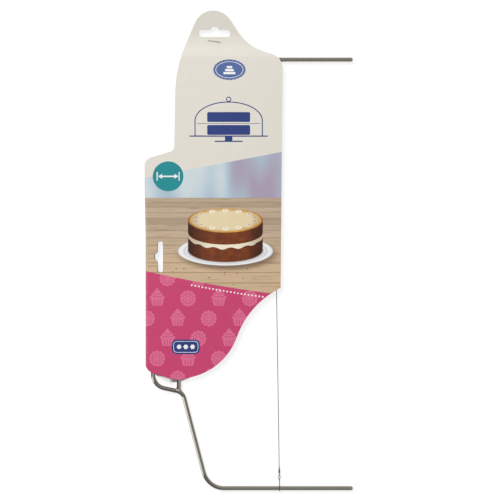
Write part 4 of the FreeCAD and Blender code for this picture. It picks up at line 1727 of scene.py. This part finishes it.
@dataclass(frozen=True)
class CardStaple:
    """Staple through both panels of the card's tongue."""

    place: Point = (38.15, 249.5)
    turn: float = -8.0
    wire: float = 0.6
    crown: float = 13.0
    clinch: float = 4.5
    bend: float = 0.45
    bend_steps: int = 8

    @property
    def along(self) -> Vector:
        """Direction of the crown."""
        turn = math.radians(self.turn)
        return Vector((math.cos(turn), math.sin(turn), 0))

    def build(self) -> None:
        """Builds and dresses the staple."""
        low, high = node_box("card_staple")
        seat = (high.z - low.z - self.wire) / 2
        half = self.crown / 2
        end = half - self.clinch
        centre = Vector((*self.place, (low.z + high.z) / 2))
        line = [(-end, -seat, 0.0), (-half, -seat, self.bend), (-half, seat, self.bend),
                (half, seat, self.bend), (half, -seat, self.bend), (end, -seat, 0.0)]
        path = [PathPoint(centre + self.along * x + Vector((0, 0, z)), bend) for x, z, bend in line]
        staple = grow("tongue_staple", path, FLAT_SWEEP, {
            "Width": self.wire * MM, "Bend Steps": self.bend_steps, "Finish": STAPLE_STEEL.material(),
        })
        place_piece(staple, "card", "card_staple")


@dataclass(frozen=True)
class Blank:
    """Cut blank: its points, and its triangles, each with its colour."""

    places: list[Vector]
    cells: list[tuple[list[int], Print]]

    def rim(self) -> list[tuple[int, int]]:
        """Gives the edges that only one triangle has.

        Returns:
            Pairs of point numbers, in the triangle's order.
        """
        edges: dict[tuple[int, int], None] = {}
        for cell, _ in self.cells:
            for i, j in zip(cell, cell[1:] + cell[:1]):
                if (j, i) in edges:
                    del edges[j, i]
                else:
                    edges[i, j] = None
        return list(edges)


@dataclass(frozen=True)
class HangCard:
    """Folded hang card with its two hang slots and its print."""

    # Corners of a panel in plan, clockwise from the top of its spine. The back has its own belly and heel.
    spine_top: Corner = Corner(-36.05, 122.5, 11.0)
    step: Corner = Corner(-4.75, 132.2, 6.4)
    shoulder: Corner = Corner(-3.4, 222.5, 150.0)
    tip: Corner = Corner(33.03, 304.6, 22.0)
    saddle: Corner = Corner(74.14, 244.3, 55.0)
    top_right: Corner = Corner(111.3, 231.7, 16.0)
    hip: Corner = Corner(109.1, -14.7)
    waist: Corner = Corner(73.8, -35.4, 92.0)
    front_belly: Corner = Corner(50.5, -100.4, 67.0)
    front_heel: Corner = Corner(-1.0, -114.3, 30.0)
    spine_foot: Corner = Corner(-36.05, -103.4, 12.5)
    back_belly: Corner = Corner(47.5, -96.5, 66.0)
    back_heel: Corner = Corner(-4.6, -118.6, 20.0)
    corner_step: float = 3.0
    spine_slack: float = 0.6
    slot_length: float = 33.0
    slot_hump: float = 3.2
    slot_hump_width: float = 10.4
    slot_hump_flat: float = 4.2
    slot_corner: float = 2.4
    slot_step: float = 10.0
    top_slot: Triple = (38.15, 258.1, 7.4)
    side_slot: Triple = (-19.9, 18.4, 6.0)
    staple: CardStaple = CardStaple()
    staple_hole: float = 0.57
    crease_margin: float = 10.0
    crease_top: float = 320.0
    fold_rows: int = 6
    gap_rows: int = 14
    lean_step: float = 2.5
    pinch_rows: int = 12
    grid: float = 12.0
    edge_slack: float = 1e-6
    cut_slack: float = 1e-4

    def build(self) -> None:
        """Builds, prints and dresses the card."""
        low, high = node_box("hang_card")
        left = low.x - self.spine_slack
        fold = Fold(left=left, middle=(low.z + high.z) / 2, half=(high.z - low.z) / 2)
        mesh = self._board(fold, self._cut(fold, CardPrint().sheet()))
        for colour in Print:
            mesh.materials.append(colour.value.material())
        piece = add_object("hang_card_sheet", mesh)
        place_piece(piece, "card", "hang_card")

    def _edge(self, fold: Fold, belly: Corner, heel: Corner) -> Outline:
        """Gives a panel's edge on the blank, from the top of the spine round to its foot.

        Args:
            fold: how the blank folds.
            belly: corner of the panel to the right of the heel.
            heel: lowest corner of the panel.

        Returns:
            Points along the edge.
        """
        limit = fold.crease - fold.bend
        plan = rounded([
            self.spine_top, self.step, self.shoulder, self.tip, self.saddle, self.top_right, self.hip,
            self.waist, belly, heel, self.spine_foot,
        ], self.corner_step)
        chain = []
        for i, (x, y) in enumerate(plan):
            px, py = plan[i - 1]
            if (px > limit) != (x > limit):
                part = (limit - px) / (x - px)
                chain.append((fold.unroll(limit), py + (y - py) * part))
            if x > limit:
                chain.append((fold.unroll(x), y))
        spine = fold.unroll(limit) + self.edge_slack
        on_spine = [i for i, (u, _) in enumerate(chain) if u <= spine]
        start = max(on_spine, key=lambda i: chain[i][1])
        return chain[start:] + chain[:start]

    def _slot(self, x: float, y: float, height: float, upright: bool) -> Outline:
        """Draws a hang slot: a bar with a rounded hump in the middle of one side.

        Args:
            x: centre of the bar.
            y: centre of the bar.
            height: width of the bar across its length.
            upright: whether the bar stands upright.

        Returns:
            The closed outline's points.
        """
        end, side = self.slot_length / 2, height / 2
        foot, top = self.slot_hump_width / 2, self.slot_hump_flat / 2
        crest, toe = side + self.slot_hump, self.slot_hump / 2
        shape = rounded([
            Corner(-end, -side, self.slot_corner), Corner(end, -side, self.slot_corner),
            Corner(end, side, self.slot_corner), Corner(foot, side, toe), Corner(top, crest, toe),
            Corner(-top, crest, toe), Corner(-foot, side, toe), Corner(-end, side, self.slot_corner),
        ], self.slot_step)
        return [(x - py, y + px) if upright else (x + px, y + py) for px, py in shape]

    def _holes(self) -> list[Outline]:
        """Gives the slots and staple holes of the front panel.

        Returns:
            Their outlines.
        """
        reach = self.staple.along * (self.staple.crown / 2)
        x, y = self.staple.place
        return [
            self._slot(*self.top_slot, upright=False),
            self._slot(*self.side_slot, upright=True),
            ring(x + reach.x, y + reach.y, self.staple_hole),
            ring(x - reach.x, y - reach.y, self.staple_hole),
        ]

    def _creases(self, fold: Fold) -> list[tuple[Point, Point]]:
        """Gives the lines of the blank along which the board may turn.

        Args:
            fold: how the blank folds.

        Returns:
            Both ends of each line.
        """
        low, high = self.back_heel.y - self.crease_margin, self.crease_top
        wide = self.top_right.x + self.crease_margin
        lines = []
        bends = [fold.crease - fold.arc * i / self.fold_rows for i in range(self.fold_rows + 1)]
        columns = [fold.crease + self.grid * i for i in range(1, int((wide - fold.crease) / self.grid))]
        for u in bends + columns:
            front = [(u, low), (u, high)]
            lines += [tuple(front), tuple(fold.behind(front))]
        run = fold.gap_right - fold.gap_left
        for i in range(self.gap_rows + 1):
            u = fold.opposite(fold.gap_left + run * i / self.gap_rows)
            lines.append(((u, low), (u, fold.gap_top)))
        rows = [low + self.grid * i for i in range(int((fold.pinch_start - low) / self.grid))]
        run = fold.pinch_end - fold.pinch_start
        rows += [fold.pinch_start + run * i / self.pinch_rows for i in range(self.pinch_rows + 1)]
        lean_rows = int((high - fold.lean_start) / self.lean_step)
        rows += [fold.lean_start + self.lean_step * i for i in range(lean_rows)]
        return lines + [((fold.opposite(wide), y), (wide, y)) for y in rows]

    def _cut(self, fold: Fold, sheet: PrintSheet) -> Blank:
        """Cuts the blank along its edge, its holes, its colour fields and its creases.

        Args:
            fold: how the blank folds.
            sheet: the print.

        Returns:
            The cut blank.
        """
        front = self._edge(fold, self.front_belly, self.front_heel)
        back = fold.behind(self._edge(fold, self.back_belly, self.back_heel))
        holes = self._holes()
        holes += [fold.behind(hole) for hole in holes]
        points, edges, faces = [], [], []
        for loop in (front + back[::-1], *holes, *(outline for _, outline in sheet.fields)):
            area = sum(a[0] * b[1] - b[0] * a[1] for a, b in zip(loop, loop[1:] + loop[:1]))
            faces.append(list(range(len(points), len(points) + len(loop))))
            points += [Vector(point) for point in (loop if area > 0 else loop[::-1])]
        for line in self._creases(fold):
            edges.append((len(points), len(points) + 1))
            points += [Vector(point) for point in line]
        places, _, triangles, _, _, sources = delaunay_2d_cdt(points, edges, faces, 0, self.cut_slack, True)
        first_field = 1 + len(holes)
        cells = []
        for cell, source in zip(triangles, sources):
            if 0 not in source or any(0 < face < first_field for face in source):
                continue
            field = max(source) - first_field
            colour = sheet.fields[field][0] if field >= 0 else Print.CREAM
            a, b, c = (places[i] for i in cell)
            turned = (b - a).cross(c - a) < 0
            cells.append((cell[::-1] if turned else cell, colour))
        return Blank(places, cells)

    def _board(self, fold: Fold, blank: Blank) -> Mesh:
        """Folds a cut blank and gives it its thickness.

        Args:
            fold: how the blank folds.
            blank: the cut blank.

        Returns:
            The closed mesh, with one material slot for each colour.
        """
        colours = list(Print)
        board = bmesh.new()
        reach = fold.thickness / 2
        wear = board.verts.layers.float.new("wear")
        outer = [board.verts.new(fold.place(p.x, p.y, reach) * MM) for p in blank.places]
        for vert, p in zip(outer, blank.places):
            vert[wear] = fold.wear(p.x)
        inner = [board.verts.new(fold.place(p.x, p.y, -reach) * MM) for p in blank.places]
        for cell, colour in blank.cells:
            front, under = [outer[i] for i in cell], [inner[i] for i in reversed(cell)]
            for corners, finish in ((front, colour), (under, Print.BOARD)):
                face = board.faces.new(corners)
                face.material_index = colours.index(finish)
                face.smooth = True
        for i, j in blank.rim():
            wall = board.faces.new([outer[j], outer[i], inner[i], inner[j]])
            wall.material_index = colours.index(Print.BOARD)
            for edge in wall.edges:
                edge.smooth = False
        loose = [vert for vert in board.verts if not vert.link_faces]
        bmesh.ops.delete(board, geom=loose, context="VERTS")
        mesh = bpy.data.meshes.new("hang_card_sheet")
        board.to_mesh(mesh)
        board.free()
        return mesh


@dataclass(frozen=True)
class Studio:
    """Floor, light and camera."""

    view_x: float = 76.3
    view_y: float = 25.7
    field: float = 536.75
    focus: float = 4.05
    lens: float = 85.0
    sensor: float = 36.0
    floor_size: float = 6000.0
    floor_drop: float = 0.3
    floor_grey: float = 0.25
    floor_lift: float = 0.82
    ceiling: float = 0.45
    ceiling_edge: Span = (0.12, 0.28)
    # Brightness of the room's walls by bearing in degrees from +X.
    walls: tuple[Span, ...] = (
        (0.0, 0.3), (15.0, 0.24), (60.0, 0.5), (90.0, 0.52), (135.0, 0.45), (168.0, 0.06),
        (194.0, 0.06), (200.0, 1.9), (211.0, 1.9), (216.0, 0.2), (256.0, 0.14), (270.0, 0.36),
        (320.0, 0.42), (338.0, 0.5), (345.0, 0.9), (352.0, 0.9), (358.0, 0.3), (360.0, 0.3),
    )
    dome: float = 0.34
    key_place: Triple = (-1200.0, 1800.0, 3000.0)
    key_size: float = 1600.0
    key_power: float = 102.0

    def build(self) -> None:
        """Sets up the floor, the light and the camera."""
        self._floor()
        self._sky()
        self._key()
        self._camera()
        bpy.context.scene.view_settings.view_transform = "Standard"

    def _floor(self) -> None:
        """Lays the white floor, which keeps the object's shadow."""
        half = self.floor_size / 2 * MM
        level = CAD_BOX[0].z - self.floor_drop * MM
        mesh = bpy.data.meshes.new("floor")
        corners = [(-half, -half, level), (half, -half, level), (half, half, level), (-half, half, level)]
        mesh.from_pydata(corners, [], [(0, 1, 2, 3)])
        material = bpy.data.materials.new("white_floor")
        material.use_nodes = True
        material.node_tree.nodes.clear()
        graph = Graph(material.node_tree)
        ray = graph.add("ShaderNodeLightPath").outputs
        seen = graph.math("MAXIMUM", ray["Is Camera Ray"], ray["Is Glossy Ray"])
        seen = graph.math("MAXIMUM", seen, ray["Is Transmission Ray"])
        matt = graph.add("ShaderNodeBsdfDiffuse", {"Color": grey(self.floor_grey)})
        glow = graph.add("ShaderNodeEmission", {"Strength": graph.math("MULTIPLY", seen, self.floor_lift)})
        both = graph.add("ShaderNodeAddShader", {0: matt, 1: glow})
        graph.add("ShaderNodeOutputMaterial", {"Surface": both})
        mesh.materials.append(material)
        floor = add_object("floor", mesh)

    def _sky(self) -> None:
        """Sets an even dome, and for reflections a room with dark and light walls and a bright window."""
        world = bpy.data.worlds.new("studio")
        world.use_nodes = True
        graph = Graph(world.node_tree)
        way = graph.add("ShaderNodeTexCoord").outputs["Generated"]
        level = graph.length(graph.vector("MULTIPLY", way, (1.0, 1.0, 0.0)))
        parts = graph.split(way)
        bearing = graph.math("DIVIDE", graph.math("ARCTAN2", parts["Y"], parts["X"]), FULL_TURN)
        stops = [(degrees / FULL_CIRCLE, grey(brightness)) for degrees, brightness in self.walls]
        wall = graph.ramp(graph.math("FRACT", bearing), stops)
        room = graph.blend(graph.ease(level, self.ceiling_edge, (0.0, 1.0)), grey(self.ceiling), wall)
        soft = graph.add("ShaderNodeLightPath").outputs["Is Diffuse Ray"]
        sky = graph.blend(soft, room, grey(self.dome))
        graph.wire(world.node_tree.nodes["Background"], {"Color": sky})
        bpy.context.scene.world = world

    def _key(self) -> None:
        """Hangs the large soft lamp to the left, out of the legs' reflections."""
        lamp = bpy.data.lights.new("key", "AREA")
        lamp.energy = self.key_power
        lamp.size = self.key_size * MM
        light = add_object("key", lamp)
        aim = Vector((self.view_x, self.view_y, self.focus)) - Vector(self.key_place)
        light.location = Vector(self.key_place) * MM
        light.rotation_euler = aim.to_track_quat("-Z", "Y").to_euler()
        light.visible_camera = False

    def _camera(self) -> None:
        """Hangs the camera straight over the object."""
        data = bpy.data.cameras.new("camera")
        data.lens = self.lens
        data.sensor_width = self.sensor
        camera = add_object("camera", data)
        height = self.focus + self.field * self.lens / self.sensor
        camera.location = Vector((self.view_x, self.view_y, height)) * MM
        bpy.context.scene.camera = camera


def main() -> None:
    """Builds the studio and every piece."""
    logging.basicConfig(level=logging.INFO, format="%(message)s")
    Studio().build()
    for assembly in (RodFrame(), CuttingWire(), HangCard(), CardStaple()):
        assembly.build()
        LOG.info("%s is dressed", type(assembly).__name__)


if __name__ == "__main__":
    main()
